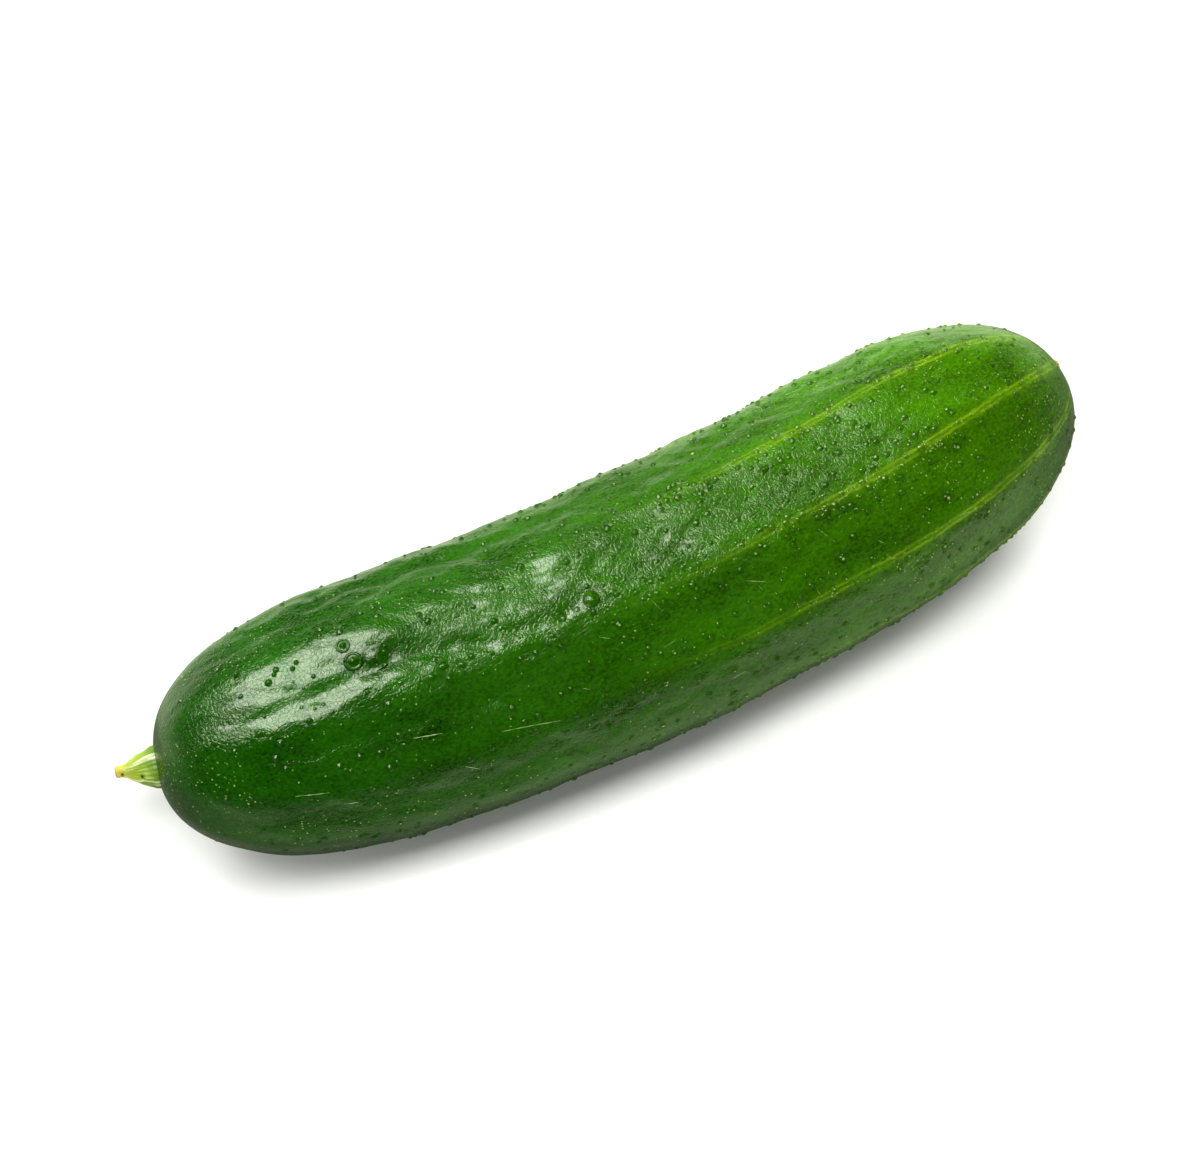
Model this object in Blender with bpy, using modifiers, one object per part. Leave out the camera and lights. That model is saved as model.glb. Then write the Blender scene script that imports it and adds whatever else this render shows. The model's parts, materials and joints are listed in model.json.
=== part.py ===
"""A slicing cucumber lying on its side: the fruit, its torn stalk and the dried flower scar.

Metres, +Z up. The fruit lies along X with the stalk at -X, on a narrow flat at Z = 0, and the
origin is under the middle of the whole cucumber's box. The fruit is a turned profile whose
surface is then shaped by formulas: a gentle bow to -Y, ten soft ridges that run from end to
end, and warts raised from cells of its skin.
"""

import math

import bmesh
import bpy
import numpy as np
from mathutils import Matrix, Vector

MM = 0.001

# Driving sizes of the fruit
LENGTH = 203 * MM
RADIUS = 27 * MM
REST_HEIGHT = 26 * MM  # height of the middle line, a little under RADIUS, which makes the flat
STALK_CAP_LENGTH = 55.8 * MM
STALK_CAP_ROUNDNESS = (2.31, 2.44)
FLOWER_CAP_LENGTH = 57.9 * MM
FLOWER_CAP_ROUNDNESS = (2.34, 2.31)
TAPER = -0.011  # share of the radius lost from the middle to the flower end
WAIST = 0.009  # share of the radius by which the belly swells and the shoulders shrink
BOW = 11.1 * MM  # sideways bend of the middle line
BOW_SKEW = -0.023
BOW_SQUARENESS = 0.117

# Ridge lines, as degrees from the top towards -Y, at the flower end and at the stalk end
RIDGES_AT_FLOWER = (15, 54, 91, 126, 161, 196, 231, 266, 301, 337)
RIDGES_AT_STALK = (20, 50, 86, 122, 158, 194, 230, 266, 304, 348)
RIDGE_HEIGHT_AT_FLOWER = 0.3 * MM
RIDGE_HEIGHT_AT_STALK = 0.5 * MM
LOBES = 3
LOBE_HEIGHT = 0.22 * MM
LOBE_ANGLE = 75
SWELL_HEIGHT = 0.14 * MM  # slow unevenness of the flesh, as two waves
SWELL_WAVES = ((39 * MM, 2, 0), (23 * MM, -3, 75))  # wavelength, turns round, phase in degrees

# Skin mesh and warts
SIDES = 56
ROWS = 46
WART_RADIUS = (0.8 * MM, 1.2 * MM)
WART_HEIGHT = (0.35 * MM, 0.6 * MM)
WART_SHARE_AT_STALK = 0.04  # share of the skin's cells that carry a wart
WART_SHARE_AT_FLOWER = 0.18
WARTS_BETWEEN = (12 * MM, 198 * MM)  # distances along the fruit that hold all the warts
WARTS_FULL_FROM = 80 * MM
WART_FREE_BELOW = 154  # degrees from the top, past which the skin stays smooth for the flat
WART_SEED = 11
WART_SHOULDER = (0.55, 0.72)  # radius and height of a wart's inner ring, as shares
# Warts that stand out: millimetres from the stalk end, degrees, and radius and height in mm
CHOSEN_WARTS = (
    (16, 21, 1.0, 0.45),
    (19, 18, 1.2, 0.55),
    (22, 25, 1.2, 0.55),
    (20, 32, 1.2, 0.55),
    (21, 38, 1.1, 0.5),
    (25, -5, 1.2, 0.5),
    (35, 40, 1.0, 0.45),
    (39, 41, 1.0, 0.45),
    (41, -9, 1.3, 0.6),
    (42, 0, 1.3, 0.6),
    (46, 2, 1.4, 0.8),
    (44, 22, 1.0, 0.45),
    (49, 30, 1.0, 0.45),
    (50, -18, 1.0, 0.45),
    (54, 17, 1.0, 0.5),
    (57, 14, 1.2, 0.55),
    (89, 10, 1.4, 0.7),
    (121, -16, 1.1, 0.55),
    (136, -4, 1.1, 0.55),
)

# Stalk and flower scar, each in a shallow socket at its end of the fruit
GAP = 0.3 * MM
STALK_SOCKET = (4.6 * MM, 2.2 * MM)  # radius, and depth under the fruit's end
STALK_LENGTH = 7.4 * MM
STALK_TIP_RADIUS = 1.1 * MM
STALK_HOLLOWNESS = 1.35  # over 1, the sides sweep in from the flare to the tip
STALK_LIFT = 1.1 * MM  # how far the tip turns up
STALK_RIBS = (5, 0.09)  # how many, and their height as a share of the radius
STALK_SIDES = 30
STALK_ROWS = 8
SCAR_SOCKET = (2.6 * MM, 1.2 * MM)
SCAR_HEIGHT = 1.9 * MM
SCAR_LOBES = (5, 0.1)
SCAR_SIDES = 30
SCAR_ROWS = 5

# Linear colour and roughness of each material
SKIN = ((0.026, 0.125, 0.004), 0.32)
STALK = ((0.43, 0.50, 0.05), 0.55)
SCAR = ((0.52, 0.27, 0.06), 0.8)


def clear_scene() -> None:
    """Removes the objects that the scene holds."""
    for found in list(bpy.data.objects):
        bpy.data.objects.remove(found, do_unlink=True)


def cap_share(along):
    """The radius at a distance along the fruit, as a share: 0 at each end, 1 in the body."""
    stalk_side = np.clip(1 - along / STALK_CAP_LENGTH, 0, 1)
    flower_side = np.clip(1 - (LENGTH - along) / FLOWER_CAP_LENGTH, 0, 1)
    stalk_power, stalk_root = STALK_CAP_ROUNDNESS
    flower_power, flower_root = FLOWER_CAP_ROUNDNESS
    stalk_share = (1 - stalk_side**stalk_power) ** (1 / stalk_root)
    return stalk_share * (1 - flower_side**flower_power) ** (1 / flower_root)


def plain_radius(along):
    """The radius without ridges: the cap's share, a little taper and a slight belly."""
    place = 2 * along / LENGTH - 1
    body = 1 + TAPER * place + WAIST * np.cos(2 * math.pi * place)
    return RADIUS * cap_share(along) * body


def middle_line(along):
    """The sideways place of the middle line: a parabola to -Y, skewed and squared a little."""
    place = 2 * along / LENGTH - 1
    return -BOW * (1 - place * place) * (1 + BOW_SKEW * place + BOW_SQUARENESS * place * place)


def ridge_wave(along, angle):
    """A cosine round the fruit, 1 on each ridge line and -1 halfway between two lines."""
    share = along / LENGTH
    at_stalk = [*RIDGES_AT_STALK, RIDGES_AT_STALK[0] + 360]
    at_flower = [*RIDGES_AT_FLOWER, RIDGES_AT_FLOWER[0] + 360]
    lines = [low + (high - low) * share for low, high in zip(at_stalk, at_flower)]
    wave = np.zeros(np.broadcast(along, angle).shape)
    for line, following in zip(lines, lines[1:]):
        past = (angle - line) % 360
        width = following - line
        wave = np.where(past < width, np.cos(2 * math.pi * past / width), wave)
    return wave


def relief(along, angle):
    """Height of the skin over the plain radius: ridges, three broad lobes and a slow swell.

    All of it dies away towards the two ends with the square of the cap's share.
    """
    ridge_height = RIDGE_HEIGHT_AT_STALK
    ridge_height += (RIDGE_HEIGHT_AT_FLOWER - RIDGE_HEIGHT_AT_STALK) * along / LENGTH
    height = ridge_height * ridge_wave(along, angle)
    height = height + LOBE_HEIGHT * np.cos(np.radians(LOBES * (angle - LOBE_ANGLE)))
    for wavelength, turns, phase in SWELL_WAVES:
        wave = 360 * along / wavelength + turns * angle + phase
        height = height + SWELL_HEIGHT * np.sin(np.radians(wave))
    return height * cap_share(along) ** 2


def middle_slope(along):
    """The slope of the middle line: its sideways step for each step along X."""
    place = 2 * along / LENGTH - 1
    shape = 1 + BOW_SKEW * place + BOW_SQUARENESS * place * place
    change = (1 - place * place) * (BOW_SKEW + 2 * BOW_SQUARENESS * place) - 2 * place * shape
    return -BOW * change * 2 / LENGTH


def place(along, radius, angle):
    """Points at a distance along the fruit, and a radius and angle round its middle line.

    The angle is in degrees from the top towards -Y, in a section that stands square to the
    middle line. Nothing goes under the resting plane.
    """
    turn = np.radians(angle)
    slope = middle_slope(along)
    sideways = -radius * np.sin(turn) / np.sqrt(1 + slope * slope)
    height = np.maximum(REST_HEIGHT + radius * np.cos(turn), 0)
    return np.stack(
        [along - LENGTH / 2 - slope * sideways, middle_line(along) + sideways, height], axis=-1
    )


def rim_distance(radius: float, end: float, way: int) -> float:
    """Where the plain profile reaches a socket's radius, going inwards from one end."""
    reach = np.linspace(0, 10 * MM, 20001)
    return float(end + way * np.interp(radius, plain_radius(end + way * reach), reach))


def skin_rows():
    """Distances along the fruit of the skin's rows, at equal steps over the curved profile."""
    first = rim_distance(STALK_SOCKET[0], 0, 1)
    last = rim_distance(SCAR_SOCKET[0], LENGTH, -1)
    fine = first + (last - first) * (1 - np.cos(np.linspace(0, math.pi, 4000))) / 2
    steps = np.hypot(np.diff(fine), np.diff(plain_radius(fine)))
    walked = np.concatenate([[0], np.cumsum(steps)])
    return np.interp(np.linspace(0, walked[-1], ROWS + 1), walked, fine)


def turned(name: str, profile, sides: int) -> bpy.types.Object:
    """A closed piece turned about Z from (radius, height) points, given from top to bottom."""
    outline = bpy.data.meshes.new(name + "_profile")
    points = [(radius, 0, height) for radius, height in profile]
    outline.from_pydata(points, [(i, i + 1) for i in range(len(points) - 1)], [])
    guide = bpy.data.objects.new(name + "_profile", outline)
    bpy.context.scene.collection.objects.link(guide)
    screw = guide.modifiers.new("turn", "SCREW")
    screw.steps = screw.render_steps = sides
    screw.use_merge_vertices = True
    screw.merge_threshold = 0.00001
    evaluated = guide.evaluated_get(bpy.context.evaluated_depsgraph_get())
    mesh = bpy.data.meshes.new_from_object(evaluated)
    mesh.name = name
    bpy.data.objects.remove(guide, do_unlink=True)
    return bpy.data.objects.new(name, mesh)


def turned_places(mesh: bpy.types.Mesh):
    """Height, radius and angle in degrees about Z of each vertex of a turned mesh."""
    flat = np.empty(len(mesh.vertices) * 3)
    mesh.vertices.foreach_get("co", flat)
    x, y, height = flat.reshape(-1, 3).T
    return height, np.hypot(x, y), np.degrees(np.arctan2(y, x))


def move_vertices(mesh: bpy.types.Mesh, places) -> None:
    """Puts each vertex of a mesh at its new place."""
    mesh.vertices.foreach_set("co", np.asarray(places).ravel())
    mesh.update()


def make_fruit() -> bpy.types.Object:
    """The fruit: turned, ridged, bowed, flattened where it rests, and set with warts."""
    rows = skin_rows()
    skin = list(zip(plain_radius(rows), rows))[::-1]
    scar_floor = LENGTH - SCAR_SOCKET[1]
    stalk_floor = STALK_SOCKET[1]
    top = [(0, scar_floor), (SCAR_SOCKET[0], scar_floor)]
    bottom = [(STALK_SOCKET[0], stalk_floor), (0, stalk_floor)]
    fruit = turned("fruit", top + skin + bottom, SIDES)
    along, radius, angle = turned_places(fruit.data)
    on_skin = np.isclose(radius, plain_radius(along), atol=0.01 * MM)
    cells = cell_faces(fruit.data)
    radius = radius + np.where(on_skin, relief(along, angle), 0)
    move_vertices(fruit.data, place(along, radius, angle))
    raise_warts(fruit.data, cells)
    return fruit


def cell_faces(mesh: bpy.types.Mesh):
    """The face of each cell of the turned skin, as {(row, side): face number}."""
    rows = skin_rows()
    found = {}
    for face in mesh.polygons:
        radius = math.hypot(face.center.x, face.center.y)
        if radius > 0.9 * plain_radius(face.center.z):
            row = int(np.searchsorted(rows, face.center.z)) - 1
            turn = math.degrees(math.atan2(face.center.y, face.center.x)) % 360
            found[row, int(turn * SIDES / 360)] = face.index
    return found


def wart_cells():
    """The cells of the skin that carry a wart, as {(row, side): (radius, height, shift)}.

    Each cell has its own draw. The chance grows from the stalk end to the middle, and is
    higher on the ridges. A chosen wart takes the cell nearest to its place. The shift is
    where the wart sits along its cell, from -1 to 1.
    """
    rows = skin_rows()
    middles = (rows[1:] + rows[:-1]) / 2
    angles = (np.arange(SIDES) + 0.5) * 360 / SIDES
    along, angle = np.meshgrid(middles, angles, indexing="ij")
    spread = np.interp(along, (WARTS_BETWEEN[0], WARTS_FULL_FROM), (0, 1))
    chance = WART_SHARE_AT_STALK + (WART_SHARE_AT_FLOWER - WART_SHARE_AT_STALK) * spread
    chance = chance * (1 + ridge_wave(along, angle) / 2)
    from_top = np.abs((angle + 180) % 360 - 180)
    allowed = (along > WARTS_BETWEEN[0]) & (along < WARTS_BETWEEN[1])
    draws = np.random.default_rng(WART_SEED)
    chosen = (draws.random(along.shape) < chance) & allowed & (from_top < WART_FREE_BELOW)
    size = draws.random(along.shape)
    shift = draws.uniform(-1, 1, along.shape)
    radius = WART_RADIUS[0] + (WART_RADIUS[1] - WART_RADIUS[0]) * size
    height = WART_HEIGHT[0] + (WART_HEIGHT[1] - WART_HEIGHT[0]) * size
    cells = {
        (int(row), int(side)): (radius[row, side], height[row, side], shift[row, side])
        for row, side in zip(*np.nonzero(chosen))
    }
    for distance, turn, wart_radius, wart_height in CHOSEN_WARTS:
        row = int(np.argmin(np.abs(middles - distance * MM)))
        cells[row, int(turn % 360 * SIDES / 360)] = (wart_radius * MM, wart_height * MM, 0)
    return cells


def raise_warts(mesh: bpy.types.Mesh, cell_face) -> None:
    """Raises a low dome inside each chosen cell, as two inset rings and a peak."""
    shaped = bmesh.new()
    shaped.from_mesh(mesh)
    shaped.faces.ensure_lookup_table()
    domes = []
    for cell, size in wart_cells().items():
        face = shaped.faces[cell_face[cell]]
        domes.append((face, *wart_seat(face, size)))
    faces = [dome[0] for dome in domes]
    shoulder_radius, shoulder_height = WART_SHOULDER
    for radius_share, height_share in ((1, 0), (shoulder_radius, shoulder_height)):
        bmesh.ops.inset_individual(shaped, faces=faces, thickness=0.05 * MM)
        for face, centre, axes, radius, height in domes:
            set_ring(face, centre, axes, radius * radius_share, height * height_share)
    for face, centre, axes, radius, height in domes:
        peak = bmesh.ops.poke(shaped, faces=[face])["verts"][0]
        peak.co = centre + axes[2] * height
    shaped.to_mesh(mesh)
    shaped.free()


def wart_seat(face, size):
    """Where a wart sits on its cell: centre, axes (along, across, out), radius and height."""
    radius, height, shift = size
    corners = [vert.co.copy() for vert in face.verts]
    middle = sum(corners, Vector()) / 4
    sides = (corners[1] + corners[2] - corners[0] - corners[3]) / 2
    ends = (corners[2] + corners[3] - corners[0] - corners[1]) / 2
    lengthways, crossways = (sides, ends) if abs(sides.x) > abs(ends.x) else (ends, sides)
    lengthways = lengthways * math.copysign(1, lengthways.x)  # towards the flower end
    radius = min(radius, 0.6 * crossways.length)
    room = max(lengthways.length / 2 - radius, 0)
    centre = middle + lengthways.normalized() * shift * room
    out = face.normal.copy()
    return centre, (lengthways.normalized(), crossways.normalized(), out), radius, height


def set_ring(face, centre, axes, radius: float, height: float) -> None:
    """Puts a dome's four ring points on a circle round its centre, each on its own diagonal."""
    lengthways, crossways, out = axes
    middle = sum((vert.co for vert in face.verts), Vector()) / 4
    for vert in face.verts:
        from_middle = vert.co - middle
        one = math.copysign(math.sqrt(0.5), from_middle.dot(lengthways))
        two = math.copysign(math.sqrt(0.5), from_middle.dot(crossways))
        vert.co = centre + (lengthways * one + crossways * two) * radius + out * height


def make_stalk() -> bpy.types.Object:
    """The torn stalk: a ribbed cone that flares at its root, with the root in its socket."""
    root_radius = STALK_SOCKET[0] - GAP
    root = STALK_SOCKET[1] - GAP
    shares = np.linspace(0, 1, STALK_ROWS)
    radii = STALK_TIP_RADIUS + (root_radius - STALK_TIP_RADIUS) * (1 - shares) ** STALK_HOLLOWNESS
    cone = list(zip(radii, -STALK_LENGTH * shares))
    end = [(0.6 * STALK_TIP_RADIUS, -STALK_LENGTH - 0.4 * MM), (0, -STALK_LENGTH - 0.5 * MM)]
    stalk = turned("stalk", [(0, root), (root_radius, root), *cone, *end], STALK_SIDES)
    along, radius, angle = turned_places(stalk.data)
    out = np.clip(-along / STALK_LENGTH, 0, 1)
    ribs, rib_height = STALK_RIBS
    radius = radius * (1 + rib_height * np.sin(math.pi * out) * np.cos(np.radians(ribs * angle)))
    places = place(along, radius, angle)
    places[:, 2] += STALK_LIFT * out**1.5
    move_vertices(stalk.data, places)
    return stalk


def make_scar() -> bpy.types.Object:
    """The dried flower scar: a small lobed button, rounded over, in its socket."""
    root_radius = SCAR_SOCKET[0] - GAP
    turn = np.linspace(math.pi / 2, 0, SCAR_ROWS + 1)[:-1]
    dome = [(root_radius * math.cos(t), LENGTH + SCAR_HEIGHT * math.sin(t)) for t in turn]
    dome[0] = (0, LENGTH + SCAR_HEIGHT)
    root = LENGTH - SCAR_SOCKET[1] + GAP
    profile = [*dome, (root_radius, LENGTH), (root_radius, root), (0, root)]
    scar = turned("flower_scar", profile, SCAR_SIDES)
    along, radius, angle = turned_places(scar.data)
    lobes, lobe_height = SCAR_LOBES
    proud = np.clip((along - LENGTH) / SCAR_HEIGHT, 0, 1)
    waves = np.sin(math.pi * proud) * np.cos(np.radians(lobes * angle))
    move_vertices(scar.data, place(along, radius * (1 + lobe_height * waves), angle))
    return scar


def finish(piece: bpy.types.Object, home: bpy.types.Collection, look) -> None:
    """Puts a piece in its collection, shades it smooth and gives it a plain material."""
    home.objects.link(piece)
    piece.data.shade_smooth()
    piece.data.set_sharp_from_angle(angle=math.radians(50))
    colour, roughness = look
    material = bpy.data.materials.new(piece.name)
    material.use_nodes = True
    shader = material.node_tree.nodes["Principled BSDF"]
    shader.inputs["Base Color"].default_value = (*colour, 1)
    shader.inputs["Roughness"].default_value = roughness
    piece.data.materials.clear()
    piece.data.materials.append(material)


def centre_on_floor(pieces) -> None:
    """Moves the pieces together so that the origin is under the middle of their box."""
    corners = np.array([vert.co for piece in pieces for vert in piece.data.vertices])
    low, high = corners.min(axis=0), corners.max(axis=0)
    shift = Vector((-(low[0] + high[0]) / 2, -(low[1] + high[1]) / 2, -low[2]))
    for piece in pieces:
        piece.data.transform(Matrix.Translation(shift))


def build() -> None:
    """Makes the cucumber."""
    clear_scene()
    home = bpy.data.collections.new("cucumber")
    bpy.context.scene.collection.children.link(home)
    looks = ((make_fruit(), SKIN), (make_stalk(), STALK), (make_scar(), SCAR))
    for piece, look in looks:
        finish(piece, home, look)
    centre_on_floor([piece for piece, _ in looks])


if __name__ == "__main__":
    build()
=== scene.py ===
"""The looks of a slicing cucumber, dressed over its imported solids.

The skin, its warts, the torn stalk and the dried flower scar are surfaces worked out with numpy
from the same formulas as the solids, so they lie where the solids do. Each finish is a node
material that reads values stored on the surface, in millimetres along and round the fruit.
"""

from __future__ import annotations

import json
import logging
import math
from dataclasses import dataclass
from enum import Enum
from typing import Sequence

import bpy
import numpy as np
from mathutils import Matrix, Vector

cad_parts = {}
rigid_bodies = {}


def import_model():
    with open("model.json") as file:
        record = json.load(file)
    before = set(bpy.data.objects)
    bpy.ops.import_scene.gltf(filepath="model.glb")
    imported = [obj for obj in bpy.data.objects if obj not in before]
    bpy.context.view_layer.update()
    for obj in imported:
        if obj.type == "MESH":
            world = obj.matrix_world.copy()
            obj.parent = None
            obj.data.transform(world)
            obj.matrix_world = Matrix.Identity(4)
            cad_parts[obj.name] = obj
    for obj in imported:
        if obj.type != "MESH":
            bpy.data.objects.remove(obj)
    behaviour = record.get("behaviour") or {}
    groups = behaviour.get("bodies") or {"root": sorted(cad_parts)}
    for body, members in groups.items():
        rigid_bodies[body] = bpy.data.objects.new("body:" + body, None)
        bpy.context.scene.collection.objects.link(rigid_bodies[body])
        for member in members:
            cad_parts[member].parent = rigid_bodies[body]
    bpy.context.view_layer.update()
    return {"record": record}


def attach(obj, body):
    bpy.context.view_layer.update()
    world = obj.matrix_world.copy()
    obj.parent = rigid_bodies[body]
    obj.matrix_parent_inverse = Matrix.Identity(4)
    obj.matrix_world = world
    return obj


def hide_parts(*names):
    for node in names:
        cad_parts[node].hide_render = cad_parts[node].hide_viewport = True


MM = 0.001
FRUIT_LENGTH = 203 * MM
LOG = logging.getLogger("cucumber")

Pair = tuple[float, float]
Triple = tuple[float, float, float]
Colour = tuple[float, float, float, float]
Stops = tuple[tuple[float, Triple], ...]
Curve = tuple[Pair, ...]


class Slot(Enum):
    """The record's material slots."""

    SKIN = "skin"
    STALK = "stalk"
    SCAR = "flower_scar"


class Node(Enum):
    """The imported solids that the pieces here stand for."""

    FRUIT = "fruit"
    STALK = "stalk"
    SCAR = "flower_scar"


def half_turn(angle: np.ndarray) -> np.ndarray:
    """An angle in degrees, brought between -180 and 180."""
    return (angle + 180) % 360 - 180


def between(limits: Pair, share: np.ndarray) -> np.ndarray:
    """A share of the way from one limit to the other."""
    return limits[0] + (limits[1] - limits[0]) * share


def bell(offset: np.ndarray) -> np.ndarray:
    """A bell, exp(-offset^2)."""
    return np.exp(-(offset**2))


def unbent(along: np.ndarray, radius: np.ndarray, angle: np.ndarray) -> np.ndarray:
    """Places in millimetres as if the fruit were straight: along, up, and towards -Y.

    Args:
        along: distances along the fruit from the stalk end, in metres.
        radius: distances from the middle line, in metres.
        angle: angles from the top towards -Y, in degrees.

    Returns:
        The places, with three numbers in the last axis.
    """
    turn = np.radians(angle)
    radius = radius / MM
    parts = np.broadcast_arrays(along / MM, radius * np.cos(turn), radius * np.sin(turn))
    return np.stack(parts, axis=-1)


@dataclass(frozen=True)
class FruitForm:
    """The fruit's shape: a radius and a middle line along it, with ridges and swells on top.

    Places on it are a distance along the fruit from the stalk end, in metres, and an angle
    from the top towards -Y, in degrees.
    """

    rest_x: float
    rest_y: float
    length: float = FRUIT_LENGTH
    radius: float = 27 * MM
    rest_height: float = 26 * MM
    # Each rounded end: how far in it reaches, and its power and root
    stalk_cap: Triple = (55.8 * MM, 2.31, 2.44)
    flower_cap: Triple = (57.9 * MM, 2.34, 2.31)
    taper: float = -0.011
    waist: float = 0.009
    bow: float = 11.1 * MM
    bow_skew: float = -0.023
    bow_squareness: float = 0.117
    ridges_at_flower: tuple[int, ...] = (15, 54, 91, 126, 161, 196, 231, 266, 301, 337)
    ridges_at_stalk: tuple[int, ...] = (20, 50, 86, 122, 158, 194, 230, 266, 304, 348)
    ridge_heights: Pair = (0.5 * MM, 0.3 * MM)
    lobes: int = 3
    lobe_height: float = 0.22 * MM
    lobe_angle: float = 75
    swell_height: float = 0.14 * MM
    swell_waves: tuple[Triple, ...] = ((39 * MM, 2, 0), (23 * MM, -3, 75))
    lump_seed: int = 5
    # Broad lumps, puckers, then fine folds: count, wavelengths, most turns round, rms height
    lump_bands: tuple[tuple[int, float, float, int, float], ...] = (
        (36, 20 * MM, 70 * MM, 22, 0.07 * MM),
        (80, 6 * MM, 20 * MM, 44, 0.062 * MM),
        (80, 4 * MM, 16 * MM, 66, 0.034 * MM),
    )
    # Where the lumps are higher: millimetres along, degrees, reach in each, and by what share
    lumpy_place: tuple[float, ...] = (84, 14, 26, 26, 0.7)
    # The side where they are lower: degrees, reach, and by what share
    calm_side: Triple = (80, 36, 0.55)
    # Creases: millimetres along and degrees of their points, half-width and depth in millimetres
    creases: tuple[tuple[Curve, float, float], ...] = (
        (
            ((12.8, 12), (24.8, 10.8), (38.5, 8), (50.1, 3), (64.3, 9), (72.3, 12), (82.2, 12), (92, 3)),
            1.9,
            0.42,
        ),
        (((18.3, 34), (37.8, 31.5), (54.3, 31.5), (64.1, 35), (72.8, 32), (84.4, 28)), 1.6, 0.3),
        (((11.9, -32), (35.7, -40), (50.1, -43), (68.9, -40), (100, -37)), 1.8, 0.26),
        (((92.2, 26), (111.7, 28), (129.2, 33)), 1.6, 0.16),
        (((87.8, -16), (112.1, -14), (134.4, -12)), 1.4, 0.14),
    )
    crease_fade: float = 9
    # The fold above a crease: its height as a share, and its place and width in half-widths
    crease_fold: Triple = (0.5, -1.8, 1.2)

    def cap_share(self, along: np.ndarray) -> np.ndarray:
        """The radius as a share: 1 - (1 - distance / cap) to a power, rooted, at each end.

        Args:
            along: distances along the fruit from the stalk end, in metres.

        Returns:
            The share, from 0 at the very ends to 1.
        """
        share = 1.0
        for past, cap in ((along, self.stalk_cap), (self.length - along, self.flower_cap)):
            reach, power, root = cap
            share = share * (1 - np.clip(1 - past / reach, 0, 1) ** power) ** (1 / root)
        return share

    def plain_radius(self, along: np.ndarray) -> np.ndarray:
        """The radius without ridges: the cap's share, a little taper and a slight belly.

        Args:
            along: distances along the fruit from the stalk end, in metres.

        Returns:
            Radii in metres.
        """
        place = 2 * along / self.length - 1
        body = 1 + self.taper * place + self.waist * np.cos(2 * math.pi * place)
        return self.radius * self.cap_share(along) * body

    def middle_line(self, along: np.ndarray) -> tuple[np.ndarray, np.ndarray]:
        """The middle line's sideways place, a skewed and squared parabola to -Y, and its slope.

        Args:
            along: distances along the fruit from the stalk end, in metres.

        Returns:
            The sideways places in metres, and the slopes.
        """
        place = 2 * along / self.length - 1
        shape = 1 + self.bow_skew * place + self.bow_squareness * place * place
        change = (1 - place * place) * (self.bow_skew + 2 * self.bow_squareness * place)
        slope = -self.bow * (change - 2 * place * shape) * 2 / self.length
        return -self.bow * (1 - place * place) * shape, slope

    def ridge_turn(self, along: np.ndarray, angle: np.ndarray) -> tuple[np.ndarray, np.ndarray]:
        """How far a place is from one ridge line to the next.

        Args:
            along: distances along the fruit from the stalk end, in metres.
            angle: angles from the top towards -Y, in degrees.

        Returns:
            The turn from a ridge line, 0 on it and 2 pi on the next, and the millimetres
            between the two lines at the fruit's full radius.
        """
        share = along / self.length
        pairs = zip(self.ridges_at_stalk, self.ridges_at_flower)
        lines = [between(pair, share) for pair in pairs]
        turn = np.zeros(np.broadcast(along, angle).shape)
        spacing = np.ones(turn.shape)
        for line, following in zip(lines, [*lines[1:], lines[0] + 360]):
            past = (angle - line) % 360
            width = following - line
            inside = past < width
            turn = np.where(inside, 2 * math.pi * past / width, turn)
            spacing = np.where(inside, np.radians(width) * self.radius / MM, spacing)
        return turn, spacing

    def lumps(self, along: np.ndarray, angle: np.ndarray) -> np.ndarray:
        """Small lumps of the flesh: bands of seeded waves that run round and along, summed.

        Args:
            along: distances along the fruit from the stalk end, in metres.
            angle: angles from the top towards -Y, in degrees.

        Returns:
            Heights in metres.
        """
        draws = np.random.default_rng(self.lump_seed)
        height = np.zeros(np.broadcast(along, angle).shape)
        for count, shortest, longest, most_turns, rms in self.lump_bands:
            wavelengths = draws.uniform(shortest, longest, count)
            turns = draws.integers(-most_turns, most_turns + 1, count)
            phases = draws.uniform(0, 360, count)
            share = rms * math.sqrt(2 / count)
            for wavelength, around, phase in zip(wavelengths, turns, phases):
                wave = 360 * along / wavelength + around * angle + phase
                height = height + share * np.sin(np.radians(wave))
        middle, turn, reach, reach_round, more = self.lumpy_place
        lumpy = bell((along / MM - middle) / reach) * bell((angle - turn) / reach_round)
        turn, reach, less = self.calm_side
        return height * (1 + more * lumpy) * (1 - less * bell(half_turn(angle - turn) / reach))

    def creased(self, along: np.ndarray, angle: np.ndarray) -> np.ndarray:
        """Depth of the creases: a bell across each, with half as high a fold on its upper side.

        Args:
            along: distances along the fruit from the stalk end, in metres.
            angle: angles from the top towards -Y, in degrees.

        Returns:
            Heights in metres, below 0 in a crease.
        """
        height = np.zeros(np.broadcast(along, angle).shape)
        share, middle, spread = self.crease_fold
        for points, width, depth in self.creases:
            places, turns = np.array(points).T
            across = np.radians(half_turn(angle - np.interp(along / MM, places, turns)))
            across = across * self.radius / MM / width
            into = np.clip((along / MM - places[0]) / self.crease_fade, 0, 1)
            out_of = np.clip((places[-1] - along / MM) / self.crease_fade, 0, 1)
            fold = share * bell((across - middle) / spread) - bell(across)
            height = height + depth * MM * fold * np.sin(math.pi / 2 * into * out_of) ** 2
        return height

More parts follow.
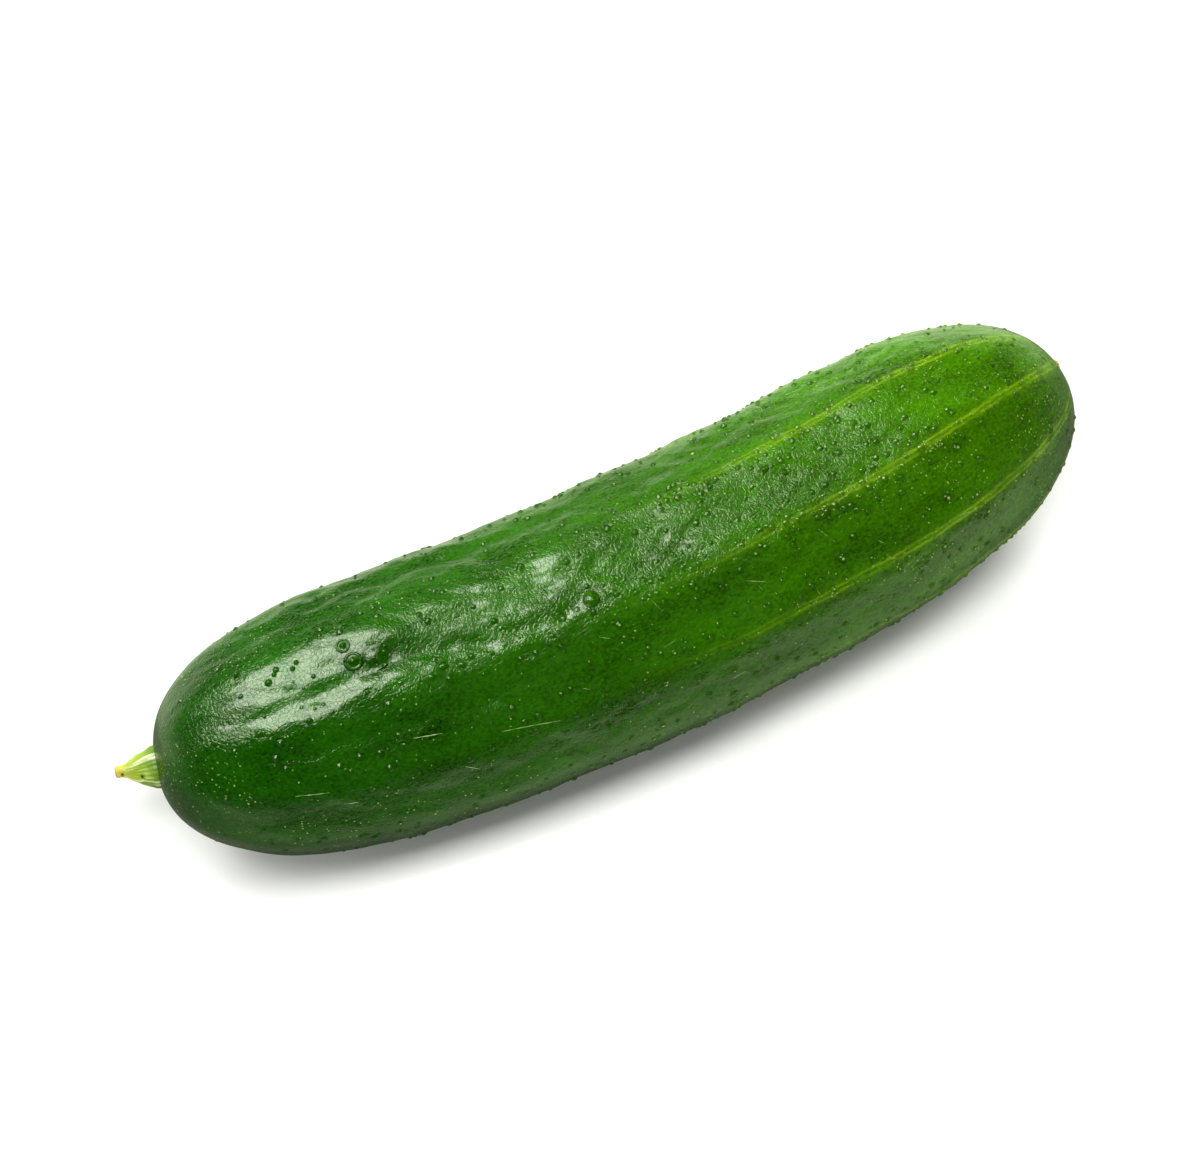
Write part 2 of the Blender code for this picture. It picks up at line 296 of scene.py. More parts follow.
    def relief(self, along: np.ndarray, angle: np.ndarray) -> np.ndarray:
        """Height over the plain radius: ridges, lobes, swells and lumps, gone at the ends.

        Args:
            along: distances along the fruit from the stalk end, in metres.
            angle: angles from the top towards -Y, in degrees.

        Returns:
            Heights in metres.
        """
        height = between(self.ridge_heights, along / self.length)
        height = height * np.cos(self.ridge_turn(along, angle)[0])
        height = height + self.lobe_height * np.cos(np.radians(self.lobes * (angle - self.lobe_angle)))
        for wavelength, turns, phase in self.swell_waves:
            wave = 360 * along / wavelength + turns * angle + phase
            height = height + self.swell_height * np.sin(np.radians(wave))
        height = height + self.lumps(along, angle) + self.creased(along, angle)
        return height * self.cap_share(along) ** 2

    def place(self, along: np.ndarray, radius: np.ndarray, angle: np.ndarray) -> np.ndarray:
        """Points at a distance along, and a radius and angle in a section square to the line.

        Args:
            along: distances along the fruit from the stalk end, in metres.
            radius: distances from the middle line, in metres.
            angle: angles from the top towards -Y, in degrees.

        Returns:
            Points in metres, with x, y and z in the last axis.
        """
        turn = np.radians(angle)
        middle, slope = self.middle_line(along)
        sideways = -radius * np.sin(turn) / np.sqrt(1 + slope * slope)
        x = along - self.length / 2 + self.rest_x - slope * sideways
        y = middle - self.middle_line(self.length / 2)[0] + self.rest_y + sideways
        z = np.maximum(self.rest_height + radius * np.cos(turn), 0)
        return np.stack(np.broadcast_arrays(x, y, z), axis=-1)

    def on_line(self, *along: float) -> np.ndarray:
        """Points on the middle line."""
        return self.place(np.array(along), np.zeros(len(along)), np.zeros(len(along)))

    def skin(self, along: np.ndarray, angle: np.ndarray) -> np.ndarray:
        """Points of the skin itself."""
        return self.place(along, self.plain_radius(along) + self.relief(along, angle), angle)

    def outwards(self, along: np.ndarray, angle: np.ndarray) -> np.ndarray:
        """Unit normals of the skin, from the cross product of two small steps on it.

        Args:
            along: distances along the fruit from the stalk end, in metres.
            angle: angles from the top towards -Y, in degrees.

        Returns:
            The normals, with x, y and z in the last axis.
        """
        step, turn = 0.1 * MM, 0.2
        inside = np.clip(along, 2 * step, self.length - 2 * step)
        lengthways = self.skin(inside + step, angle) - self.skin(inside - step, angle)
        crossways = self.skin(inside, angle + turn) - self.skin(inside, angle - turn)
        normal = np.cross(crossways, lengthways)
        return normal / np.linalg.norm(normal, axis=-1, keepdims=True)

    def lifted(self, along: np.ndarray, angle: np.ndarray, lift: np.ndarray) -> np.ndarray:
        """Points at a height over the skin."""
        return self.skin(along, angle) + self.outwards(along, angle) * lift

    def steepness(self, along: np.ndarray) -> np.ndarray:
        """How far a place moves along the fruit for each step over its curved profile.

        Args:
            along: distances along the fruit from the stalk end, in metres.

        Returns:
            The share, 1 where the profile is level.
        """
        step = 0.05 * MM
        inside = np.clip(along, 2 * step, self.length - 2 * step)
        rise = (self.plain_radius(inside + step) - self.plain_radius(inside - step)) / (2 * step)
        return 1 / np.sqrt(1 + rise * rise)

    def rows(self, first: float, last: float, count: int) -> np.ndarray:
        """Distances along the fruit at equal steps over its curved profile.

        Args:
            first: where the first row is, in metres.
            last: where the last row is, in metres.
            count: how many steps there are.

        Returns:
            The distances, one more than the steps.
        """
        fine = first + (last - first) * (1 - np.cos(np.linspace(0, math.pi, 4000))) / 2
        steps = np.hypot(np.diff(fine), np.diff(self.plain_radius(fine)))
        walked = np.concatenate([[0], np.cumsum(steps)])
        return np.interp(np.linspace(0, walked[-1], count + 1), walked, fine)

    def rim_distance(self, radius: float, end: float, way: int) -> float:
        """Where the plain profile reaches a radius, going inwards from one end.

        Args:
            radius: the radius to find, in metres.
            end: the end's distance along, in metres.
            way: 1 from the stalk end, and -1 from the flower end.

        Returns:
            The distance along, in metres.
        """
        reach = np.linspace(0, 10 * MM, 20001)
        return float(end + way * np.interp(radius, self.plain_radius(end + way * reach), reach))


@dataclass
class WartField:
    """Where the warts sit: those of the solids, by the same draws, and finer pimples.

    Each set is rows of distance along, angle, radius and height.
    """

    form: FruitForm
    sides: int = 56
    row_count: int = 46
    socket_rims: Pair = (4.6 * MM, 2.6 * MM)
    radius_range: Pair = (0.8 * MM, 1.2 * MM)
    height_range: Pair = (0.35 * MM, 0.6 * MM)
    shares: Pair = (0.04, 0.18)
    limits: Pair = (12 * MM, 198 * MM)
    full_from: float = 80 * MM
    free_below: float = 154
    seed: int = 11
    # The most that a wart takes of its cell's width
    fill: float = 0.6
    # The visible bump is narrower than the solid's, and its height a share of its own radius
    narrowing: float = 0.72
    steepness: float = 0.6
    # The last warts before the flower end are flatter: millimetres along, and share of height
    flattened: tuple[Pair, Pair] = ((160, 188), (1, 0.35))
    pimple_seed: int = 23
    pimple_count: int = 1500
    pimple_radius: Pair = (0.36 * MM, 0.8 * MM)
    pimple_limits: Pair = (6 * MM, 200 * MM)
    pimple_spread: tuple[Triple, Triple] = ((0, 60 * MM, 110 * MM), (0.25, 0.5, 1))
    pimple_steepness: float = 0.52
    # Above 1, small pimples are more common than large ones
    pimple_skew: float = 1.3
    # How much further down the sides the pimples go than the warts, in degrees
    pimples_below: float = 6
    # Millimetres from the stalk end, degrees, and radius and height in millimetres
    chosen: tuple[tuple[float, float, float, float], ...] = (
        (17.5, 21, 1, 0.45), (20.3, 18, 1.2, 0.55), (23.7, 25, 1.2, 0.55), (22.2, 32, 1.2, 0.55),
        (23.5, 38, 1.1, 0.5), (24.6, -5, 1.2, 0.5), (37.3, 40, 1, 0.45), (41.2, 41, 1, 0.45),
        (40.5, -9, 2.1, 0.6), (41.4, -1, 2.7, 0.6), (46.1, 1.5, 3.5, 0.5), (45.2, 22, 1, 0.45),
        (50.4, 30, 1, 0.45), (49.1, -18, 1, 0.45), (54.7, 17, 1, 0.5), (57.6, 14, 1.2, 0.55),
        (89.1, 10, 2.6, 0.5), (121.3, -16, 1.1, 0.55), (136.1, -4, 1.1, 0.55),
    )
    # The places whose cells the solids give to the chosen ones: millimetres and degrees
    chosen_cells: Curve = (
        (16, 21), (19, 18), (22, 25), (20, 32), (21, 38), (25, -5), (35, 40), (39, 41), (41, -9),
        (42, 0), (46, 2), (44, 22), (49, 30), (50, -18), (54, 17), (57, 14), (89, 10), (121, -16),
        (136, -4),
    )
    # Which of the chosen ones have a raised ring
    ringed: tuple[int, ...] = (8, 9)

    def drawn_warts(self) -> np.ndarray:
        """The solids' drawn warts, by the same rule and draws.

        Returns:
            A row for each wart.
        """
        form = self.form
        first = form.rim_distance(self.socket_rims[0], 0, 1)
        last = form.rim_distance(self.socket_rims[1], form.length, -1)
        rows = form.rows(first, last, self.row_count)
        middles = (rows[1:] + rows[:-1]) / 2
        angles = (np.arange(self.sides) + 0.5) * 360 / self.sides
        along, angle = np.meshgrid(middles, angles, indexing="ij")
        chance = between(self.shares, np.interp(along, (self.limits[0], self.full_from), (0, 1)))
        chance = chance * (1 + np.cos(form.ridge_turn(along, angle)[0]) / 2)
        allowed = (along > self.limits[0]) & (along < self.limits[1])
        allowed = allowed & (np.abs(half_turn(angle)) < self.free_below)
        draws = np.random.default_rng(self.seed)
        taken = (draws.random(along.shape) < chance) & allowed
        size = draws.random(along.shape)
        shift = draws.uniform(-1, 1, along.shape)
        for distance, turn in self.chosen_cells:
            row = int(np.argmin(np.abs(middles - distance * MM)))
            taken[row, int(turn % 360 * self.sides / 360)] = False
        steepness = form.steepness(along)
        cell_width = 2 * math.pi * form.plain_radius(along) / self.sides
        cell_length = np.broadcast_to(np.diff(rows)[:, None], along.shape) / steepness
        radius = np.minimum(between(self.radius_range, size), self.fill * cell_width)
        along = along + shift * np.maximum(cell_length / 2 - radius, 0) * steepness
        height = between(self.height_range, size)
        return self.narrowed(np.stack([along, angle, radius, height], axis=-1)[taken])

    def narrowed(self, warts: np.ndarray) -> np.ndarray:
        """The visible bumps of solid warts: narrower, and no higher than the solid ones.

        Args:
            warts: rows of the solids' warts.

        Returns:
            A row for each wart.
        """
        along, angle, radius, height = warts.T
        radius = radius * self.narrowing
        height = np.minimum(height, radius * self.steepness)
        height = height * np.interp(along / MM, *self.flattened)
        return np.stack([along, angle, radius, height], axis=-1)

    def landmarks(self) -> np.ndarray:
        """The warts that are listed one by one."""
        return self.narrowed(np.array(self.chosen) * (MM, 1, MM, MM))

    def pimples(self) -> np.ndarray:
        """Finer pimples between the warts, thicker on the ridges and towards the flower end.

        Returns:
            A row for each pimple.
        """
        draws = np.random.default_rng(self.pimple_seed)
        count = 3 * self.pimple_count
        along = draws.uniform(*self.pimple_limits, count)
        angle = draws.uniform(0, 360, count)
        chance = np.interp(along, *self.pimple_spread)
        chance = chance * (0.6 + 0.4 * np.cos(self.form.ridge_turn(along, angle)[0]))
        chance = chance * self.form.cap_share(along)
        allowed = np.abs(half_turn(angle)) < self.free_below + self.pimples_below
        kept = (draws.random(count) < chance) & allowed
        radius = between(self.pimple_radius, draws.random(count) ** self.pimple_skew)
        found = np.stack([along, angle, radius, self.pimple_steepness * radius], axis=-1)
        return found[kept][: self.pimple_count]


def mesh_piece(name: str, points: np.ndarray, faces: Sequence[np.ndarray]) -> bpy.types.Object:
    """Makes a smooth-shaded mesh object at the origin.

    Args:
        name: the piece's name.
        points: places in metres, one row each.
        faces: arrays of corner numbers, one row per face, each array with its own face size.

    Returns:
        The object, linked to the scene.
    """
    mesh = bpy.data.meshes.new(name)
    corners = np.concatenate([rows.ravel() for rows in faces]).astype(np.int32)
    sizes = np.concatenate([np.full(len(rows), rows.shape[1]) for rows in faces])
    starts = np.concatenate([[0], np.cumsum(sizes)[:-1]]).astype(np.int32)
    mesh.vertices.add(len(points))
    mesh.vertices.foreach_set("co", np.asarray(points, np.float32).ravel())
    mesh.loops.add(len(corners))
    mesh.loops.foreach_set("vertex_index", corners)
    mesh.polygons.add(len(sizes))
    mesh.polygons.foreach_set("loop_start", starts)
    mesh.update(calc_edges=True)
    mesh.validate()
    mesh.shade_smooth()
    piece = bpy.data.objects.new(name, mesh)
    bpy.context.scene.collection.objects.link(piece)
    return piece


def store(piece: bpy.types.Object, name: str, values: np.ndarray) -> None:
    """Stores a number or a vector on each vertex of a piece, for its material to read.

    Args:
        piece: the piece.
        name: the attribute's name.
        values: one number or row of three for each vertex.
    """
    vector = values.ndim == 2
    kind = "FLOAT_VECTOR" if vector else "FLOAT"
    layer = piece.data.attributes.new(name, kind, "POINT")
    layer.data.foreach_set("vector" if vector else "value", values.astype(np.float32).ravel())


def open_grid(rows: int, columns: int) -> tuple[np.ndarray, np.ndarray]:
    """Shares from 0 to 1, one for each row, and angles in degrees, one for each column.

    Args:
        rows: how many shares.
        columns: how many angles.

    Returns:
        The shares as a column, and the angles as a row.
    """
    return np.linspace(0, 1, rows)[:, None], (np.arange(columns) * 360 / columns)[None, :]


def ring_faces(rows: int, columns: int) -> list[np.ndarray]:
    """Faces of a closed surface of rings between two poles: the quads, then the triangles.

    The rings' points come first, row by row, then the pole before the first ring and the
    pole after the last. A ring's points go round with the angle.

    Args:
        rows: how many rings.
        columns: how many points in each.

    Returns:
        An array of quads and an array of triangles.
    """
    here = np.arange(columns)
    after = (here + 1) % columns
    start = np.arange(rows - 1)[:, None] * columns
    corners = [start + here, start + after, start + columns + after, start + columns + here]
    first_pole = rows * columns
    last = (rows - 1) * columns
    low = np.stack([np.full(columns, first_pole), after, here], axis=-1)
    high = np.stack([np.full(columns, first_pole + 1), last + here, last + after], axis=-1)
    return [np.stack(corners, axis=-1).reshape(-1, 4), np.concatenate([low, high])]


def repeated(faces: Sequence[np.ndarray], count: int, points_each: int) -> list[np.ndarray]:
    """The faces of one small surface, again for each of many whose points follow each other.

    Args:
        faces: the one surface's faces.
        count: how many there are.
        points_each: how many points each has.

    Returns:
        The faces of them all.
    """
    shift = np.arange(count)[:, None, None] * points_each
    return [(rows[None] + shift).reshape(-1, rows.shape[1]) for rows in faces]


class Value:
    """A number, vector or colour over a surface, whose sums and products are Math nodes."""

    def __init__(self, recipe: Recipe, socket: bpy.types.NodeSocket) -> None:
        """Keeps a node's output, and the recipe that adds the nodes after it.

        Args:
            recipe: the material's recipe.
            socket: the node's output.
        """
        self.recipe, self.socket = recipe, socket

    def __add__(self, other: Value | float) -> Value:
        """This and another."""
        return self.recipe.maths("ADD", self, other)

    def __sub__(self, other: Value | float) -> Value:
        """This less another."""
        return self.recipe.maths("SUBTRACT", self, other)

    def __mul__(self, other: Value | float) -> Value:
        """This times another."""
        return self.recipe.maths("MULTIPLY", self, other)

    def __truediv__(self, other: Value | float) -> Value:
        """This divided by another."""
        return self.recipe.maths("DIVIDE", self, other)


class Recipe:
    """Adds nodes to one tree and links them, so that a material reads as a recipe."""

    def __init__(self, tree: bpy.types.NodeTree) -> None:
        """Starts on a tree, which may hold nodes already."""
        self.tree = tree

    def put(self, socket: bpy.types.NodeSocket, value: Value | float | tuple) -> None:
        """Links a socket to a value, or sets its own number or colour.

        Args:
            socket: a node's input.
            value: what it gets.
        """
        if isinstance(value, Value):
            self.tree.links.new(value.socket, socket)
        else:
            socket.default_value = value

    def add(self, kind: str, output: str | int, inputs: dict | None = None, **settings: object) -> Value:
        """Adds a node.

        Args:
            kind: the node's type name, without ShaderNode.
            output: the name or number of the output that is wanted.
            inputs: values or numbers for its inputs, by name or number.
            settings: the node's own properties.

        Returns:
            The output.
        """
        node = self.tree.nodes.new("ShaderNode" + kind)
        for name, value in settings.items():
            setattr(node, name, value)
        for name, value in (inputs or {}).items():
            self.put(node.inputs[name], value)
        return Value(self, node.outputs[output])

    def maths(self, operation: str, first: Value | float, second: Value | float = 0.0) -> Value:
        """One Math node of one or two values or numbers.

        Args:
            operation: the node's operation.
            first: its first value.
            second: its second value.

        Returns:
            The node's output.
        """
        return self.add("Math", 0, {0: first, 1: second}, operation=operation)

    def vector(self, operation: str, first: Value, second: Value | Triple, output: str) -> Value:
        """One Vector Math node.

        Args:
            operation: the node's operation.
            first: its first vector.
            second: its second vector.
            output: Vector, or Value for a length or a product.

        Returns:
            The node's output.
        """
        return self.add("VectorMath", output, {0: first, 1: second}, operation=operation)

    def split(self, vector: Value) -> list[Value]:
        """The three parts of a vector or colour.

        Args:
            vector: the vector or colour.

        Returns:
            The parts, in order.
        """
        first = self.add("SeparateXYZ", 0, {0: vector})
        return [Value(self, part) for part in first.socket.node.outputs]

    def remap(
        self, value: Value, low: float, high: float, to_low: Value | float = 0.0, to_high: float = 1.0
    ) -> Value:
        """A smooth step from one range to another, clamped.

        Args:
            value: the value to change.
            low: where the step starts.
            high: where it ends.
            to_low: what it gives before the step.
            to_high: what it gives after it.

        Returns:
            The node's output.
        """
        ends = {"From Min": low, "From Max": high, "To Min": to_low, "To Max": to_high}
        inputs = {"Value": value, **ends}
        return self.add("MapRange", "Result", inputs, interpolation_type="SMOOTHSTEP")

    def mix(
        self, share: Value | float, first: Value | Colour, second: Value | Colour, blend: str = "MIX"
    ) -> Value:
        """Mixes two colours by a share.

        Args:
            share: how much there is of the second.
            first: the first colour.
            second: the second colour.
            blend: the way that they are mixed.

        Returns:
            The colour.
        """
        inputs = {"Factor": share, 6: first, 7: second}
        return self.add("Mix", 2, inputs, data_type="RGBA", blend_type=blend, clamp_factor=True)

    def shaded(self, colour: Value, shade: Value) -> Value:
        """A colour times a number.

        Args:
            colour: the colour.
            shade: the number.

        Returns:
            The colour.
        """
        grey = self.add("CombineXYZ", 0, {0: shade, 1: shade, 2: shade})
        return self.mix(1.0, colour, grey, "MULTIPLY")

    def ramp(self, value: Value, stops: Stops) -> Value:
        """A colour that changes with a value from 0 to 1, through the stops given.

        Args:
            value: a value from 0 to 1.
            stops: places from 0 to 1, each with its colour.

        Returns:
            The colour.
        """
        colour = self.add("ValToRGB", "Color", {"Fac": value})
        elements = colour.socket.node.color_ramp.elements
        for element, (position, shade) in ((elements[0], stops[0]), (elements[1], stops[-1])):
            element.position, element.color = position, (*shade, 1)
        for position, shade in stops[1:-1]:
            elements.new(position).color = (*shade, 1)
        return colour

    def curve(self, value: Value, stops: Curve) -> Value:
        """A number that changes with a value from 0 to 1, as a grey.

        Args:
            value: a value from 0 to 1.
            stops: places from 0 to 1, each with its number.

        Returns:
            The grey.
        """
        return self.ramp(value, tuple((position, (level,) * 3) for position, level in stops))

    def grain(
        self, place: Value, lengthways: float, across: float, detail: float = 2, roughness: float = 0.5
    ) -> Value:
        """Noise from 0 to 1, by its scale along the growth and across it.

        Args:
            place: where the surface is, in millimetres.
            lengthways: the scale along the growth, to a millimetre.
            across: the scale across it.
            detail: how many finer layers there are.
            roughness: how strong the finer layers are.

        Returns:
            The noise.
        """
        scale = (lengthways, across, across)
        place = self.add("Mapping", "Vector", {"Vector": place, "Scale": scale})
        inputs = {"Vector": place, "Scale": 1.0, "Detail": detail, "Roughness": roughness}
        return self.add("TexNoise", "Fac", inputs)

    def attribute(self, name: str, output: str = "Fac") -> Value:
        """A value stored on the surface.

        Args:
            name: the attribute's name.
            output: Fac for a number, or Vector.

        Returns:
            The value.
        """
        return self.add("Attribute", output, attribute_name=name)

    def group(self, tree: bpy.types.NodeTree, place: Value, **numbers: float) -> Value:
        """The result of a node group with its own numbers.

        Args:
            tree: the group.
            place: where the surface is, in millimetres.
            numbers: the group's own numbers, by input name.

        Returns:
            The group's first output.
        """
        node = self.tree.nodes.new("ShaderNodeGroup")
        node.node_tree = tree
        for name, value in {"Vector": place, **numbers}.items():
            self.put(node.inputs[name], value)
        return Value(self, node.outputs[0])


class GroupRecipe(Recipe):
    """A recipe on a new shader node group, which makes one number of a place and numbers."""

    def __init__(self, name: str, numbers: dict[str, float], result: str) -> None:
        """Starts the group.

        Args:
            name: the group's name.
            numbers: the inputs after Vector, with their default values.
            result: the output's name.
        """
        super().__init__(bpy.data.node_groups.new(name, "ShaderNodeTree"))
        sockets = self.tree.interface
        sockets.new_socket("Vector", in_out="INPUT", socket_type="NodeSocketVector")
        for title, value in numbers.items():
            socket = sockets.new_socket(title, in_out="INPUT", socket_type="NodeSocketFloat")
            socket.default_value = value
        sockets.new_socket(result, in_out="OUTPUT", socket_type="NodeSocketFloat")
        outputs = self.tree.nodes.new("NodeGroupInput").outputs
        self.given = [Value(self, outputs[title]) for title in ("Vector", *numbers)]

    def done(self, value: Value) -> bpy.types.NodeTree:
        """Links the result and gives back the finished group.

        Args:
            value: the value that the group puts out.

        Returns:
            The group.
        """
        self.put(self.tree.nodes.new("NodeGroupOutput").inputs[0], value)
        return self.tree


class MaterialRecipe(Recipe):
    """A recipe on a new material's tree, round its Principled BSDF."""

    def __init__(self, name: str) -> None:
        """Starts the material.

        Args:
            name: the material's name.
        """
        self.material = bpy.data.materials.new(name)
        self.material.use_nodes = True
        super().__init__(self.material.node_tree)

    def done(
        self, inputs: dict, height: Value | None = None, depth: float = 0.0
    ) -> bpy.types.Material:
        """Finishes the material.

        Args:
            inputs: values, numbers and colours for the shader's inputs, by name.
            height: the relief, if it has one.
            depth: metres of relief for a height of 1.

        Returns:
            The material.
        """
        if height is not None:
            bump = {"Height": height, "Strength": 1.0, "Distance": depth}
            inputs["Normal"] = self.add("Bump", "Normal", bump)
        shader = self.tree.nodes["Principled BSDF"]
        for name, value in inputs.items():
            self.put(shader.inputs[name], value)
        return self.material


def plant_mottle_group() -> bpy.types.NodeTree:
    """Mottling of plant skin, as values round 1.

    The value is 1 + blotches * (noise - 1/2) + grain * (fine noise - 1/2), with both noises
    drawn out along the growth.

    Returns:
        The group.
    """
    recipe = GroupRecipe("plant mottle", {"Blotches": 0.4, "Grain": 0.3}, "Value")
    place, blotches, grain = recipe.given
    broad = (recipe.grain(place, 0.05, 0.13, 4, 0.6) - 0.5) * blotches
    fine = (recipe.grain(place, 1.3, 2.0, 3, 0.65) - 0.5) * grain
    return recipe.done(broad + fine + 1.0)


def pore_relief_group() -> bpy.types.NodeTree:
    """Relief of plant skin, as a height: fine pebbles, shallow puckers and cell borders.

    The cell borders are grooves along a Voronoi pattern's edges, with the place bent by noise
    first, so that they wander.

    Returns:
        The group.
    """
    recipe = GroupRecipe("pore relief", {"Pebble": 1.0, "Pucker": 1.0, "Cells": 0.5}, "Height")
    place, pebble, pucker, cells = recipe.given
    pebbles = recipe.grain(place, 1.5, 1.1, 4, 0.65)
    puckers = recipe.grain(place, 0.22, 0.36)
    bend = recipe.add("TexNoise", "Color", {"Vector": place, "Scale": 0.8, "Detail": 2.0})
    inputs = {"Vector": recipe.vector("ADD", bend, place, "Vector"), "Scale": 1.05}
    edges = recipe.add("TexVoronoi", "Distance", inputs, feature="DISTANCE_TO_EDGE")
    borders = recipe.remap(edges, 0.0, 0.22)
    return recipe.done(pebbles * pebble + puckers * pucker + borders * cells)


@dataclass(frozen=True)
class SkinFinish:
    """Waxy cucumber skin: green by distance along, with painted shade on two sides and at the warts' feet,
    pale stripes, freckles and fine relief.
    """

    # Distance along as a share, and linear colour
    greens: Stops = (
        (0.0, (0.0068, 0.072, 0.0003)),
        (0.12, (0.0084, 0.077, 0.0003)),
        (0.25, (0.0115, 0.085, 0.0003)),
        (0.4, (0.0165, 0.097, 0.0003)),
        (0.55, (0.0240, 0.116, 0.0003)),
        (0.75, (0.0330, 0.135, 0.0003)),
        (0.9, (0.0390, 0.145, 0.0003)),
        (1.0, (0.0500, 0.168, 0.0006)),
    )
    # Broad blotches, grain, and the darkest that they make the green
    mottling: Triple = (1.8, 2.4, 0.25)
    # Painted shade on one side, where less light falls: the share, and the angle where it is darkest
    painted_side_shade: float = 0.27
    side_angle: float = 75
    # Painted shade on the back too, by this share, as far as these millimetres along
    painted_back_shade: float = 0.2
    back_fade: Pair = (110, 185)
    stripe: Colour = (0.155, 0.310, 0.004, 1)
    freckle: Colour = (0.34, 0.50, 0.10, 1)
    wart_tip: Colour = (0.010, 0.058, 0.0006, 1)
    # The painted shade at a wart's foot
    painted_foot_shade: Colour = (0.002, 0.022, 0.0003, 1)
    dry_tip: Colour = (0.30, 0.42, 0.10, 1)
    # Millimetres from the ridge line, half-width in millimetres, and strength
    stripe_lines: tuple[Triple, ...] = ((-0.55, 0.24, 0.75), (0.45, 0.26, 0.65), (0.0, 1.2, 0.32))
    # Where the stripes come up, in millimetres along
    stripe_fade: Pair = (80, 178)
    # Share of the cells with a freckle, by distance along as a share: fine ones, and flecks
    fine_freckles: Curve = ((0, 0.62), (0.18, 0.25), (0.35, 0.05), (0.6, 0.12), (0.85, 0.5), (1, 0.5))
    flecks: Curve = ((0, 0.16), (0.12, 0.22), (0.25, 0.05), (0.55, 0.08), (1, 0.2))
    # The cells' size in millimetres, and the least and most radius of a dot in them
    fine_dots: tuple[float, Pair] = (0.62, (0.06, 0.2))
    fleck_dots: tuple[float, Pair] = (1.9, (0.12, 0.36))
    # How strongly each shows in the colour, and how much of a height of 1 it makes
    fine_strength: float = 0.85
    freckle_strength: float = 0.8
    freckle_height: float = 0.35
    foot_shade_strength: float = 0.55
    foot_depth: float = 0.5
    tip_strength: float = 0.38
    roughness: float = 0.2
    # The wax is uneven by this much either way, and a wart is smoother by this much
    uneven_wax: Pair = (0.05, 0.07)
    wart_wax: float = 0.09
    coat: float = 0.22
    coat_roughness: float = 0.09
    tint: Colour = (0.88, 1.0, 0.66, 1)
    specular: float = 0.4
    relief_depth: float = 0.00021

    def around(self, recipe: Recipe, place: Value) -> Value:
        """Painted shade for the side, 1 - share * cos(angle - darkest angle), and painted shade for the
        back.

        Args:
            recipe: the material's recipe.
            place: where the surface is, in millimetres.

        Returns:
            A number near 1 to multiply the green by.
        """
        along, height, across = recipe.split(place)
        flat = recipe.vector("MULTIPLY", place, (0, 1, 1), "Vector")
        radius = recipe.maths("MAXIMUM", recipe.vector("LENGTH", flat, (0, 0, 0), "Value"), 3.0)
        turn = math.radians(self.side_angle)
        up = height * math.cos(turn)
        aside = across * math.sin(turn)
        side = (up + aside) / radius * -self.painted_side_shade + 1.0
        back = recipe.remap((up - aside) / radius, 0.35, 0.85)
        back = back * recipe.remap(along, *self.back_fade, self.painted_back_shade, 0.0)
        return side * recipe.maths("SUBTRACT", 1.0, back)

    def stripes(self, recipe: Recipe, place: Value, along: Value) -> Value:
        """How much stripe shows: two fine lines and a glow, fading past mid-length.

        Args:
            recipe: the material's recipe.
            place: where the surface is, in millimetres.
            along: the place's distance along, in millimetres.

        Returns:
            A share from 0 to 1.
        """
        facing, turn, width = recipe.split(recipe.attribute("ridge", "Vector"))
        wobble = recipe.grain(place, 0.05, 0.05) * 2.0 - 1.0
        fray = recipe.grain(place, 0.9, 1.5) * 0.7 - 0.35
        offset = turn * width + wobble + fray
        lines = []
        for centre, half_width, strength in self.stripe_lines:
            away = (offset - centre) / half_width
            lines.append(recipe.maths("EXPONENT", away * away * -1.0) * strength)
        broken = recipe.remap(recipe.grain(place, 0.07, 0.6, 3), 0.3, 0.62, 0.35, 1.0)
        shown = sum(lines[1:], lines[0]) * broken * recipe.remap(along, *self.stripe_fade)
        return shown * recipe.remap(facing, 0.3, 0.7)

    def dots(self, recipe: Recipe, place: Value, spacing: float, size: Pair, level: Value) -> Value:
        """Pale dots, one at most in each Voronoi cell.

        Args:
            recipe: the material's recipe.
            place: where the surface is, in millimetres.
            spacing: the cells' size in millimetres.
            size: the least and most radius of a dot, in millimetres.
            level: the share of cells that have a dot.

        Returns:
            How much dot shows.
        """
        inputs = {"Vector": place, "Scale": 1 / spacing}
        cells = recipe.add("TexVoronoi", "Color", inputs, feature="F1")
        away = Value(recipe, cells.socket.node.outputs["Distance"]) * spacing
        drawn_size, chance, _ = recipe.split(cells)
        radius = drawn_size * (size[1] - size[0]) + size[0]
        return recipe.remap(radius - away, -0.06, 0.08) * recipe.maths("LESS_THAN", chance, level)

    def freckles(self, recipe: Recipe, place: Value, along: Value, stripe: Value) -> Value:
        """How much pale freckle shows: fine dots in clouds and by the stripes, and flecks.

        Args:
            recipe: the material's recipe.
            place: where the surface is, in millimetres.
            along: the place's distance along, in millimetres.
            stripe: how much stripe shows.

        Returns:
            A share from 0 to 1.
        """
        cloud = recipe.grain(place, 0.07, 0.09, 3, 0.6)
        share = along / (FRUIT_LENGTH / MM)
        level = recipe.curve(share, self.fine_freckles) * recipe.remap(cloud, 0.42, 0.66, 0.06, 1.0)
        fine = self.dots(recipe, place, *self.fine_dots, stripe * 0.8 + level)
        level = recipe.remap(cloud, 0.5, 0.7) * recipe.curve(share, self.flecks)
        large = self.dots(recipe, place, *self.fleck_dots, level)
        return recipe.maths("MAXIMUM", fine * self.fine_strength, large)

